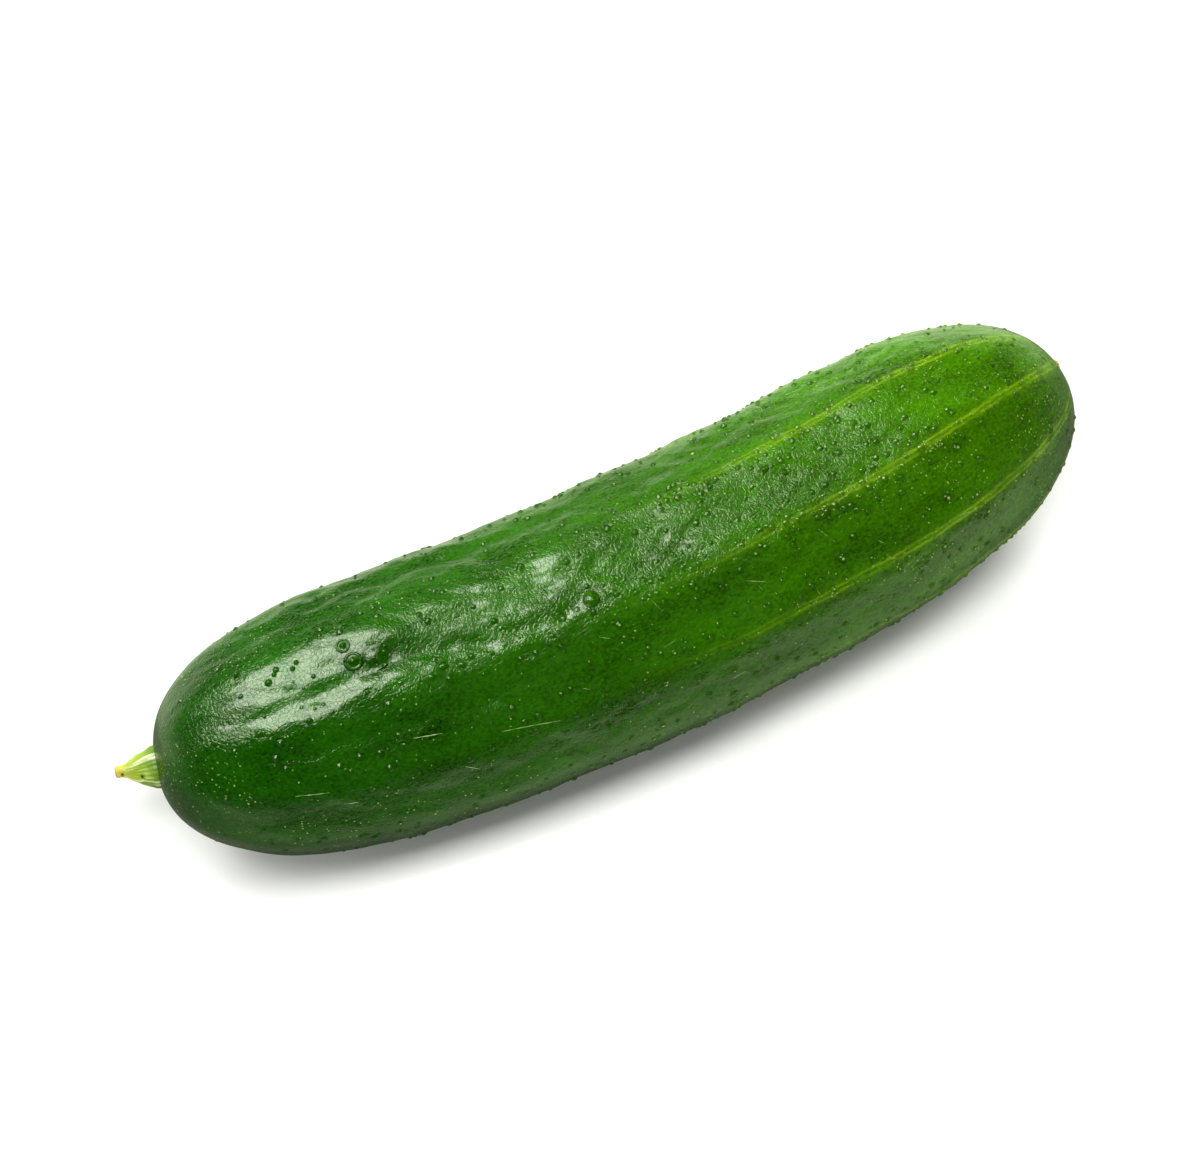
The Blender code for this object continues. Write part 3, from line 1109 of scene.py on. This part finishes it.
    def material(self, mottle: bpy.types.NodeTree, relief: bpy.types.NodeTree) -> bpy.types.Material:
        """Builds the material, which reads straight, ridge, wart, dry and ring, the last for the painted
        shade at the warts' feet.

        Args:
            mottle: the node group that makes the mottling.
            relief: the node group that makes the relief.

        Returns:
            The material.
        """
        recipe = MaterialRecipe("cucumber skin")
        place = recipe.attribute("straight", "Vector")
        along = recipe.split(place)[0]
        blotches, grain, darkest = self.mottling
        shade = recipe.group(mottle, place, Blotches=blotches, Grain=grain)
        # The mottling, times the painted shade on the side and back
        shade = recipe.maths("MAXIMUM", shade, darkest) * self.around(recipe, place)
        colour = recipe.shaded(recipe.ramp(along / (FRUIT_LENGTH / MM), self.greens), shade)
        stripe = self.stripes(recipe, place, along)
        colour = recipe.mix(stripe, colour, self.stripe)
        wart, ring = recipe.attribute("wart"), recipe.attribute("ring")
        # Painted shade at the warts' feet: the ring value darkens the green there
        colour = recipe.mix(ring * self.foot_shade_strength, colour, self.painted_foot_shade)
        tip = recipe.remap(wart, 0.1, 0.8, 0.0, self.tip_strength)
        colour = recipe.mix(tip, colour, self.wart_tip)
        freckles = self.freckles(recipe, place, along, stripe)
        colour = recipe.mix(freckles * self.freckle_strength, colour, self.freckle)
        dry = recipe.attribute("dry") * recipe.remap(wart, 0.75, 0.98)
        gloss = recipe.grain(place, 0.08, 0.2, 3)
        less, more = self.uneven_wax
        gloss = recipe.remap(gloss, 0.2, 0.8, self.roughness - less, self.roughness + more)
        height = recipe.group(relief, place, Pebble=0.6, Pucker=0.9, Cells=0.18)
        inputs = {
            "Base Color": recipe.mix(dry, colour, self.dry_tip),
            "Roughness": gloss - recipe.remap(wart, 0.0, 0.3, 0.0, self.wart_wax),
            "Specular IOR Level": self.specular,
            "Specular Tint": self.tint,
            "Coat Weight": self.coat,
            "Coat Roughness": self.coat_roughness,
        }
        height = height + freckles * self.freckle_height - ring * self.foot_depth
        return recipe.done(inputs, height, self.relief_depth)


def dress(piece: bpy.types.Object, material: bpy.types.Material, node: Node) -> None:
    """Gives a piece its material and body, and hides the solid that it stands for.

    Args:
        piece: the piece.
        material: the finish that the piece wears.
        node: the solid that the piece stands for.
    """
    piece.data.materials.append(material)
    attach(piece, "root")
    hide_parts(node.value)
    LOG.info("%s: %d faces, stands for %s", piece.name, len(piece.data.polygons), node.value)


@dataclass
class Skin:
    """The fruit's skin as one closed surface, and its warts as small domes sunk into it."""

    form: FruitForm
    warts: WartField
    rows: int = 344
    columns: int = 258
    # Columns stand closer together where the warts show: the share, and the angle in degrees
    crowding: float = 0.4
    crowded_angle: float = 20
    rim_sink: float = 0.02 * MM
    root_sink: float = 0.35 * MM
    # The ring of painted shade at a wart's foot, also sunk a little in the relief: where it is as a share
    # of the radius, and its half-width
    foot_ring: Pair = (1.05, 0.22)
    foot_reach: float = 1.8
    # A raised ring: height as a share of the dome's, place as a share of its radius, half-width
    raised_ring: Triple = (0.62, 0.82, 0.13)
    raised_middle: float = 0.4

    def describe(self, piece: bpy.types.Object, along: np.ndarray, angle: np.ndarray) -> None:
        """Stores where each vertex is: unbent place in millimetres, and place among ridges.

        Args:
            piece: the piece.
            along: distances along the fruit from the stalk end, in metres.
            angle: angles from the top towards -Y, in degrees.
        """
        radius = self.form.plain_radius(along)
        store(piece, "straight", unbent(along, radius, angle))
        ridge, spacing = self.form.ridge_turn(along, angle)
        width = spacing * (radius / self.form.radius) / (2 * math.pi)
        store(piece, "ridge", np.stack([np.cos(ridge), np.sin(ridge), width], axis=-1))

    def rings(self, along: np.ndarray, angle: np.ndarray, sizes: np.ndarray) -> np.ndarray:
        """Rings of painted shade at the warts' feet on the skin, as a bell of the distance past the rim.

        Args:
            along: the skin grid's distances along.
            angle: the skin grid's angles.
            sizes: the warts' rows.

        Returns:
            A share for each grid point.
        """
        share = np.zeros(along.shape)
        row_places = along[:, 0]
        radii = self.form.plain_radius(row_places)
        slopes = self.form.steepness(row_places)
        place, half_width = self.foot_ring
        for wart_along, wart_angle, radius, _ in sizes:
            reach = self.foot_reach * radius
            low, high = np.searchsorted(row_places, (wart_along - reach, wart_along + reach))
            if high <= low:
                continue
            across = np.radians(half_turn(angle[low:high] - wart_angle)) * radii[low:high, None]
            lengthways = (along[low:high] - wart_along) / slopes[low:high, None]
            ring = bell((np.hypot(across, lengthways) / radius - place) / half_width)
            share[low:high] = np.maximum(share[low:high], ring * min(1.0, radius / MM))
        return share

    def make_skin(self, sizes: np.ndarray) -> bpy.types.Object:
        """The skin: rings at equal steps over the profile, closed at both ends.

        Args:
            sizes: the warts' rows.

        Returns:
            The object.
        """
        form = self.form
        rows = form.rows(0, form.length, self.rows + 1)[1:-1]
        even = np.radians(np.arange(self.columns) * 360 / self.columns)
        angles = np.degrees(even - self.crowding * np.sin(even)) + self.crowded_angle
        along, angle = np.meshgrid(rows, angles, indexing="ij")
        points = np.concatenate([form.skin(along, angle).reshape(-1, 3), form.on_line(0, form.length)])
        skin = mesh_piece("cucumber_skin", points, ring_faces(self.rows, self.columns))
        self.describe(skin, np.append(along, [0, form.length]), np.append(angle, [0, 0]))
        for name in ("wart", "dry"):
            store(skin, name, np.zeros(len(points)))
        store(skin, "ring", np.append(self.rings(along, angle, sizes), [0, 0]))
        return skin

    def domes(self, sizes: np.ndarray, rings: int, points_round: int, ringed: Sequence[int]) -> tuple:
        """Small domes: height times (1 - share^2)^1.5 of the way from middle to rim.

        A ringed one is a narrower bell in a raised ring.

        Args:
            sizes: rows of distance along, angle, radius and height.
            rings: rings from near the middle out to the rim.
            points_round: points in each ring.
            ringed: the numbers of the domes that have a raised ring.

        Returns:
            Points, faces, distances along, angles, and how high up its dome each point is.
        """
        form, count = self.form, len(sizes)
        along, angle, radius, height = (column[:, None, None] for column in sizes.T)
        share = (np.arange(1, rings + 1) / rings)[None, :, None]
        turn = (np.arange(points_round) * 2 * math.pi / points_round)[None, None, :]
        ring_along = along + share * radius * np.cos(turn) * form.steepness(along)
        across = share * radius * np.sin(turn) / form.plain_radius(along)
        ring_angle = angle + np.degrees(across)
        rise = (1 - share**2) ** 1.5 + 0 * turn + 0 * along
        raised, place, half_width = self.raised_ring
        ring = raised * bell((share - place) / half_width) * (1 - share**8)
        rise[list(ringed)] = (bell(share / self.raised_middle) + ring + 0 * turn)[0]
        lift = (height * rise - self.rim_sink)[..., None]
        places = form.lifted(ring_along, ring_angle, lift).reshape(count, -1, 3)
        ends = [
            form.lifted(along, angle, end)[:, 0]
            for end in (-self.root_sink, height[..., None] - self.rim_sink)
        ]
        points = np.concatenate([places, *ends], axis=1)
        points[..., 2] = np.maximum(points[..., 2], 0)
        per = rings * points_round + 2
        outer_first = np.arange(rings * points_round).reshape(rings, points_round)[::-1]
        order = np.append(outer_first, [per - 2, per - 1])
        faces = repeated([order[rows] for rows in ring_faces(rings, points_round)], count, per)
        flat = []
        for value, at_ends in ((ring_along, along), (ring_angle, angle), (rise, None)):
            if at_ends is None:
                tops = np.tile([0.0, 1.0], (count, 1))
            else:
                tops = np.repeat(at_ends[:, 0], 2, axis=1)
            flat.append(np.concatenate([value.reshape(count, -1), tops], axis=1).ravel())
        return points.reshape(-1, 3), faces, *flat

    def make_warts(
        self, name: str, sizes: np.ndarray, grid: tuple[int, int], dry: float, ringed: Sequence[int] = ()
    ) -> bpy.types.Object:
        """A piece of domes.

        Args:
            name: the piece's name.
            sizes: rows of distance along, angle, radius and height.
            grid: rings in each dome, and points in each ring.
            dry: the share of the domes that have a dry, pale tip.
            ringed: the numbers of the domes that have a raised ring.

        Returns:
            The object.
        """
        points, faces, along, angle, risen = self.domes(sizes, *grid, ringed)
        piece = mesh_piece(name, points, faces)
        self.describe(piece, along, angle)
        per = len(points) // len(sizes)
        plain = np.repeat(np.clip(MM / sizes[:, 2], 0, 1) ** 3, per)
        store(piece, "wart", risen * plain)
        # The ring value gives each dome's foot painted shade, and sinks it a little in the relief
        store(piece, "ring", bell(risen / 0.3) * plain)
        draws = np.random.default_rng(len(sizes))
        towards_flower = np.interp(sizes[:, 0], (0, 0.5 * self.form.length), (0.2, 1))
        dried = draws.random(len(sizes)) < dry * towards_flower
        store(piece, "dry", np.repeat(dried.astype(float), per))
        return piece

    def build(self, material: bpy.types.Material) -> None:
        """Makes and dresses the skin and its warts.

        Args:
            material: the finish that the piece wears.
        """
        landmarks = self.warts.landmarks()
        large = self.warts.drawn_warts()
        small = self.warts.pimples()
        pieces = [
            self.make_skin(np.concatenate([landmarks, large, small])),
            self.make_warts("landmark_warts", landmarks, (12, 36), 0.05, self.warts.ringed),
            self.make_warts("cucumber_warts", large, (4, 14), 0.12),
            self.make_warts("cucumber_pimples", small, (3, 9), 0.1),
        ]
        for piece in pieces:
            dress(piece, material, Node.FRUIT)


@dataclass(frozen=True)
class StalkFinish:
    """Fresh torn stalk: yellow-green, with whitish fibres, painted shade in its pits and a tan end."""

    flesh: Stops = (
        (0.0, (0.10, 0.21, 0.006)),
        (0.25, (0.22, 0.36, 0.010)),
        (0.7, (0.36, 0.44, 0.025)),
        (0.86, (0.50, 0.46, 0.030)),
        (0.95, (0.60, 0.46, 0.040)),
        (1.0, (0.46, 0.32, 0.05)),
    )
    fibre: Colour = (0.86, 0.90, 0.58, 1)
    fibre_strength: float = 0.9
    # The painted shade in the pits
    pit_shade: Colour = (0.020, 0.030, 0.004, 1)
    roughness: float = 0.5
    relief_depth: float = 0.00015

    def material(self, mottle: bpy.types.NodeTree, relief: bpy.types.NodeTree) -> bpy.types.Material:
        """Builds the material, which reads stalk (share out, crest, pit_shade) and straight.

        Args:
            mottle: the node group that makes the mottling.
            relief: the node group that makes the relief.

        Returns:
            The material.
        """
        recipe = MaterialRecipe("stalk")
        place = recipe.attribute("straight", "Vector")
        out, crest, pit_shade = recipe.split(recipe.attribute("stalk", "Vector"))
        shade = recipe.group(mottle, place, Blotches=0.5, Grain=0.7)
        colour = recipe.shaded(recipe.ramp(out, self.flesh), shade)
        colour = recipe.mix(crest * self.fibre_strength, colour, self.fibre)
        height = recipe.group(relief, place, Pebble=1.0, Pucker=0.3, Cells=0.0)
        # Painted shade darkens the pits
        inputs = {"Base Color": recipe.mix(pit_shade, colour, self.pit_shade), "Roughness": self.roughness}
        return recipe.done(inputs, height, self.relief_depth)


@dataclass
class Stalk:
    """The torn stalk: a ribbed cone out of the fruit's end, with fibres, pits and a torn tip."""

    form: FruitForm
    length: float = 7.9 * MM
    # Share of the way out, and radius in millimetres
    outline: Curve = (
        (0, 4.5), (0.22, 3.5), (0.45, 2.75), (0.6, 2.15), (0.72, 1.5), (0.85, 1.2), (0.95, 1.15), (1, 0.9),
    )
    root_depth: float = 1.2 * MM
    # The share of the way out where the root ends
    root_share: float = 0.06
    tip_sink: float = 0.3 * MM
    lift: float = 1.1 * MM
    ribs: tuple[int, float] = (5, 0.09)
    fibre_height: float = 0.035
    rows: int = 110
    columns: int = 160
    # Share out, angle, half-length as a share, half-width in degrees, and depth in metres
    pits: tuple[tuple[float, float, float, float, float], ...] = (
        (0.36, 58, 0.05, 11, 0.7 * MM),
        (0.83, 62, 0.05, 26, 0.35 * MM),
        (0.62, 98, 0.1, 8, 0.3 * MM),
        (0.5, 200, 0.08, 16, 0.4 * MM),
    )

    def build(self, material: bpy.types.Material) -> None:
        """Makes the stalk: radius by the outline, times ribs, fibres and pits.

        Args:
            material: the finish that the piece wears.
        """
        out, angle = open_grid(self.rows, self.columns)
        shares, radii = np.array(self.outline).T
        radius = np.interp(out, shares, radii) * MM
        count, rib = self.ribs
        swing = 14 * np.sin(2.2 * math.pi * out)
        crest = np.cos(np.radians(count * (angle + swing)))
        fine = np.cos(np.radians(17 * angle + 60 * np.sin(5 * out + 1)))
        fine = fine * np.cos(np.radians(9 * angle) - 3 * out)
        radius = radius * (1 + rib * np.sin(math.pi * out) * crest + self.fibre_height * fine)
        pit_shade = np.zeros(radius.shape)
        for pit_out, pit_angle, half_length, half_width, depth in self.pits:
            hollow = bell((out - pit_out) / half_length)
            hollow = hollow * bell(half_turn(angle - pit_angle) / half_width)
            radius = radius - depth * hollow
            # The deepest part of each pit gets painted shade
            pit_shade = np.maximum(pit_shade, np.clip(1.6 * hollow - 0.5, 0, 1))
        along = self.root_depth * np.clip(1 - out / self.root_share, 0, 1) - self.length * out
        places = self.form.place(along + 0 * angle, radius, angle + 0 * out)
        places[..., 2] += self.lift * out**1.5
        poles = self.form.on_line(self.tip_sink - self.length, self.root_depth)
        poles[0, 2] += self.lift
        points = np.concatenate([places[::-1].reshape(-1, 3), poles])
        piece = mesh_piece("torn_stalk", points, ring_faces(self.rows, self.columns))
        fibre = np.clip((0.6 * crest + 0.6 * fine) - 0.25, 0, 1) * np.clip(4 * (0.95 - out), 0, 1)
        values = np.stack(np.broadcast_arrays(out, fibre, pit_shade), axis=-1)[::-1].reshape(-1, 3)
        store(piece, "stalk", np.concatenate([values, [[1, 0, 0.4], [0, 0, 0]]]))
        flat = unbent(along, radius, angle)[::-1].reshape(-1, 3)
        store(piece, "straight", np.concatenate([flat, [[-7.6, 0, 0], [1.2, 0, 0]]]))
        dress(piece, material, Node.STALK)


@dataclass(frozen=True)
class ScarFinish:
    """The dried flower scar: tan, with painted shade darkening it to brown in its folds."""

    # Fold value and linear colour: the darker low end is painted shade in the folds
    folds: Stops = (
        (0.0, (0.22, 0.15, 0.04)),
        (0.6, (0.52, 0.42, 0.10)),
        (1.0, (0.52, 0.42, 0.10)),
    )
    roughness: float = 0.8
    relief_depth: float = 0.00015

    def material(self, mottle: bpy.types.NodeTree, relief: bpy.types.NodeTree) -> bpy.types.Material:
        """Builds the material, which reads fold and straight.

        Args:
            mottle: the node group that makes the mottling.
            relief: the node group that makes the relief.

        Returns:
            The material.
        """
        recipe = MaterialRecipe("flower scar")
        place = recipe.attribute("straight", "Vector")
        shade = recipe.group(mottle, place, Blotches=0.4, Grain=0.9)
        colour = recipe.shaded(recipe.ramp(recipe.attribute("fold"), self.folds), shade)
        height = recipe.group(relief, place, Pebble=1.4, Pucker=0.2, Cells=0.0)
        inputs = {"Base Color": colour, "Roughness": self.roughness}
        return recipe.done(inputs, height, self.relief_depth)


@dataclass
class FlowerScar:
    """The dried flower scar: a lobed, crumpled button with a dimple at its top."""

    form: FruitForm
    radius: float = 1.7 * MM
    height: float = 1.8 * MM
    root_depth: float = 0.9 * MM
    # The pole in the dimple at the top: its height as a share
    dimple: float = 0.85
    # The share of the rows that go down the root
    root_share: float = 0.25
    lobes: tuple[int, float] = (5, 0.1)
    fold_height: float = 0.05
    rows: int = 50
    columns: int = 100

    def build(self, material: bpy.types.Material) -> None:
        """Makes the scar: a quarter circle turned, times lobes and folds, over a straight root.

        Args:
            material: the finish that the piece wears.
        """
        share, angle = open_grid(self.rows, self.columns)
        length = self.form.length
        turn = np.clip((share - self.root_share) / (1 - self.root_share), 0, 0.995) * math.pi / 2
        count, lobe = self.lobes
        crest = np.cos(np.radians(count * angle))
        folds = np.cos(np.radians(13 * angle + 80 * np.sin(4 * share)))
        waves = np.sin(math.pi * np.sin(turn)) * (lobe * crest + self.fold_height * folds)
        radius = self.radius * np.cos(turn) * (1 + waves)
        rise = length + self.height * np.sin(turn) * (1 - 0.12 * np.clip(-crest, 0, 1))
        root = length - self.root_depth * (1 - share / self.root_share)
        along = np.broadcast_to(np.where(share < self.root_share, root, rise), radius.shape)
        places = self.form.place(along, radius, angle + 0 * share)
        poles = self.form.on_line(length - self.root_depth, length + self.dimple * self.height)
        points = np.concatenate([places.reshape(-1, 3), poles])
        piece = mesh_piece("dried_flower_scar", points, ring_faces(self.rows, self.columns))
        # Low in the valleys between the lobes, where the finish paints shade
        fold = np.broadcast_to(0.55 + 0.35 * crest + 0.2 * folds, radius.shape)
        store(piece, "fold", np.append(fold, [0, 0]))
        flat = unbent(along, radius, angle).reshape(-1, 3)
        store(piece, "straight", np.concatenate([flat, [[202, 0, 0], [205, 0, 0]]]))
        dress(piece, material, Node.SCAR)


@dataclass
class Scratches:
    """Pale healed scratches, as slivers that stand a hair proud of the skin."""

    form: FruitForm
    steps: int = 20
    hairline_seed: int = 31
    hairline_count: int = 26
    height: float = 0.05 * MM
    sink: float = 0.06 * MM
    # Where each starts and ends, in millimetres and degrees, and its width in millimetres
    marks: tuple[tuple[float, float, float, float, float], ...] = (
        (23.8, 51.8, 30.4, 52.5, 0.22),
        (32.2, 60.5, 34.9, 61, 0.22),
        (47.6, 39, 53.4, 40.8, 0.32),
        (63.8, 48.8, 75.5, 53.2, 0.2),
        (55.6, 58.8, 58.4, 63.8, 0.18),
        (139.5, -26.3, 140.7, -16.5, 0.18),
        (116.3, 1, 117.8, 11.5, 0.16),
        (118.7, 30.5, 122.4, 35, 0.18),
    )

    def hairlines(self) -> np.ndarray:
        """Seeded hairline scratches, most of them on the flower half, in rows like the marks.

        Returns:
            A row for each.
        """
        draws = np.random.default_rng(self.hairline_seed)
        count = self.hairline_count
        along = draws.normal(128, 30, count).clip(20, 185)
        angle = draws.normal(20, 34, count)
        length = draws.uniform(1, 3.6, count)
        heading = np.radians(draws.normal(40, 45, count))
        rise = np.degrees(length * np.sin(heading) / (self.form.radius / MM))
        width = draws.uniform(0.07, 0.13, count)
        return np.stack([along, angle, along + length * np.cos(heading), angle + rise, width], -1)

    def build(self, material: bpy.types.Material) -> None:
        """Makes each mark as a lens-shaped sliver, with a crest along its middle.

        Args:
            material: the finish that the piece wears.
        """
        marks = np.concatenate([self.marks, self.hairlines()])
        start_along, start_angle, end_along, end_angle, width = (row[:, None] for row in marks.T)
        share = np.linspace(0.02, 0.98, self.steps)[None, :]
        along = (start_along + (end_along - start_along) * share) * MM
        angle = start_angle + (end_angle - start_angle) * share
        half = width * MM / 2 * np.sin(math.pi * share) ** 0.5 * (1 + 0.3 * np.sin(19 * share))
        run = (end_along - start_along) * MM
        swing = np.radians(end_angle - start_angle) * self.form.radius
        reach = np.hypot(run, swing)
        edge_along = -swing / reach * half
        edge_angle = np.degrees(run / reach * half / self.form.plain_radius(along))
        sides = ((1, -self.sink), (0, self.height), (-1, -self.sink), (0, -4 * self.sink))
        rings = [
            self.form.lifted(along + side * edge_along, angle + side * edge_angle, lift)
            for side, lift in sides
        ]
        tips = self.form.lifted(along[:, [0, -1]], angle[:, [0, -1]], -self.sink)
        points = np.stack(rings, axis=2).reshape(len(marks), -1, 3)
        points = np.concatenate([points, tips], axis=1)
        faces = repeated(ring_faces(self.steps, len(sides)), len(marks), points.shape[1])
        piece = mesh_piece("healed_scratches", points.reshape(-1, 3), faces)
        dress(piece, material, Node.FRUIT)


def scratch_material() -> bpy.types.Material:
    """Pale dry callus, uneven along the scratch.

    Returns:
        The material.
    """
    recipe = MaterialRecipe("healed scratch")
    uneven = recipe.grain(recipe.add("TexCoord", "Object"), 900.0, 900.0)
    stops = ((0.3, (0.10, 0.24, 0.03)), (0.6, (0.46, 0.56, 0.26)))
    return recipe.done({"Base Color": recipe.ramp(uneven, stops), "Roughness": 0.6})


@dataclass(frozen=True)
class Lamp:
    """A soft lamp: its place, width and other side in metres, and its power in watts."""

    name: str
    place: Triple
    width: float
    depth: float
    power: float
    # It shows in the gloss alone, or else in the plain colour alone
    glossy: bool = False

    def build(self, aim: Triple) -> None:
        """Stands the lamp facing a place.

        Args:
            aim: where it points, in metres.
        """
        lamp = bpy.data.lights.new(self.name, "AREA")
        lamp.shape = "RECTANGLE"
        lamp.size, lamp.size_y = self.width, self.depth
        lamp.energy = self.power
        stand = bpy.data.objects.new(self.name, lamp)
        stand.location = self.place
        heading = Vector(aim) - Vector(self.place)
        stand.rotation_euler = heading.to_track_quat("-Z", "Y").to_euler()
        stand.visible_glossy = self.glossy
        stand.visible_diffuse = not self.glossy
        bpy.context.scene.collection.objects.link(stand)


@dataclass
class Studio:
    """A pale floor, soft light from above and behind, and the photo's camera."""

    azimuth: float = -26.07
    elevation: float = 66
    distance: float = 1.0
    aim: Triple = (-0.53 * MM, 7.58 * MM, 24.6 * MM)
    lens: float = 147.29
    sensor: float = 36
    floor_size: float = 6
    floor_drop: float = 0.02 * MM
    lamps: tuple[Lamp, ...] = (
        Lamp("softbox", (-0.42, 0.674, 1.27), 0.9, 0.9, 42, True),
        Lamp("ceiling", (-0.03, -0.2, 1.9), 1.7, 0.5, 38),
        Lamp("window", (0.46, 1.56, 0.48), 0.9, 0.6, 42),
        Lamp("front", (0.0, -1.3, 1.09), 0.6, 0.6, 6),
        Lamp("left", (-1.3, 0.1, 1.05), 0.6, 0.6, 5),
    )
    surroundings: float = 0.045
    floor_colour: Colour = (0.92, 0.922, 0.89, 1)
    white: Colour = (1, 1, 1, 1)
    # A painted reflection for gloss rays, a lit table top that isn't there, dark beside the fruit: its
    # turn, and where its near and far edges fade
    reflection_turn: float = 8
    near_edge: Pair = (-0.096, -0.088)
    far_edge: Pair = (0.20, 0.26)
    beside: Pair = (0.036, 0.052)
    painted_reflection: Colour = (0.60, 0.66, 0.46, 1)
    # Painted shade in the reflection beside the fruit
    painted_reflection_shade: Colour = (0.15, 0.16, 0.12, 1)
    painted_reflection_beyond: Colour = (0.012, 0.012, 0.010, 1)
    # Past the lamps' reach the floor shows as white as the room: metres from the middle
    bright_from: Pair = (0.35, 0.9)

    def floor(self) -> None:
        """A pale floor just under the resting plane, which paints a reflection for gloss rays."""
        half = self.floor_size / 2
        corners = np.array([[-1, -1], [1, -1], [1, 1], [-1, 1]]) * half
        points = np.column_stack([corners, np.full(4, -self.floor_drop)])
        floor = mesh_piece("studio_floor", points, [np.array([[0, 1, 2, 3]])])
        recipe = MaterialRecipe("studio floor")
        turn = math.radians(self.reflection_turn)
        place = recipe.add("TexCoord", "Object")
        heading = (math.sin(turn), math.cos(turn), 0)
        away = recipe.vector("DOT_PRODUCT", place, heading, "Value")
        aside = recipe.maths("ABSOLUTE", recipe.split(place)[1])
        # Gloss rays see a painted reflection: a lit table top, darker beside the fruit, and dark past its
        # edges
        reflected_table = recipe.mix(recipe.remap(aside, *self.beside), self.painted_reflection_shade, self.painted_reflection)
        reflected_share = recipe.remap(away, *self.near_edge) * recipe.remap(away, *self.far_edge, 1.0, 0.0)
        gloss = recipe.add("LightPath", "Is Glossy Ray")
        seen = recipe.add("LightPath", "Is Camera Ray")
        far = recipe.vector("LENGTH", place, (0, 0, 0), "Value")
        inputs = {
            "Base Color": recipe.mix(gloss, self.floor_colour, recipe.mix(reflected_share, self.painted_reflection_beyond, reflected_table)),
            "Roughness": 0.9,
            "Specular IOR Level": 0.0,
            "Emission Color": self.white,
            "Emission Strength": recipe.remap(far, *self.bright_from) * seen,
        }
        material = recipe.done(inputs)
        material.cycles.emission_sampling = "NONE"
        floor.data.materials.append(material)

    def camera(self) -> None:
        """The camera at the photo's angle: azimuth from -Y towards +X, and elevation."""
        data = bpy.data.cameras.new("photo camera")
        data.lens, data.sensor_width = self.lens, self.sensor
        data.sensor_fit = "HORIZONTAL"
        data.clip_end = 20
        camera = bpy.data.objects.new("photo camera", data)
        azimuth, elevation = math.radians(self.azimuth), math.radians(self.elevation)
        level = math.cos(elevation)
        back = Vector((math.sin(azimuth) * level, -math.cos(azimuth) * level, math.sin(elevation)))
        camera.location = Vector(self.aim) + back * self.distance
        camera.rotation_euler = (-back).to_track_quat("-Z", "Y").to_euler()
        bpy.context.scene.collection.objects.link(camera)
        bpy.context.scene.camera = camera

    def surround(self) -> None:
        """A dim room that the camera sees as white, so the floor's far edge doesn't show."""
        world = bpy.data.worlds.new("studio")
        world.use_nodes = True
        recipe = Recipe(world.node_tree)
        shade = world.node_tree.nodes["Background"]
        shade.inputs["Color"].default_value = self.white
        fill = recipe.add("LightPath", "Is Glossy Ray") * -self.surroundings + self.surroundings
        seen = recipe.add("LightPath", "Is Camera Ray")
        recipe.put(shade.inputs["Strength"], recipe.remap(seen, 0.0, 1.0, fill, 1.0))
        bpy.context.scene.world = world

    def build(self) -> None:
        """Sets the stage, the lamps, the surroundings and the camera."""
        self.floor()
        for lamp in self.lamps:
            lamp.build(self.aim)
        self.surround()
        bpy.context.scene.view_settings.view_transform = "Standard"
        bpy.context.scene.view_settings.look = "None"
        self.camera()


def clear_start_objects() -> None:
    """Removes what a new Blender file holds."""
    for found in list(bpy.data.objects):
        bpy.data.objects.remove(found, do_unlink=True)


def main() -> None:
    """Builds the cucumber's pieces in order and reports each."""
    logging.basicConfig(level=logging.INFO, format="%(name)s: %(message)s")
    clear_start_objects()
    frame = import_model()
    mounts = {mount["name"]: mount["pos_m"] for mount in frame["record"]["mounts"]}
    rest_x, rest_y, _ = mounts["rest_face"]
    form = FruitForm(rest_x=rest_x, rest_y=rest_y)
    Studio().build()
    mottle = plant_mottle_group()
    relief = pore_relief_group()
    Skin(form, WartField(form)).build(SkinFinish().material(mottle, relief))
    Scratches(form).build(scratch_material())
    Stalk(form).build(StalkFinish().material(mottle, relief))
    FlowerScar(form).build(ScarFinish().material(mottle, relief))


if __name__ == "__main__":
    main()
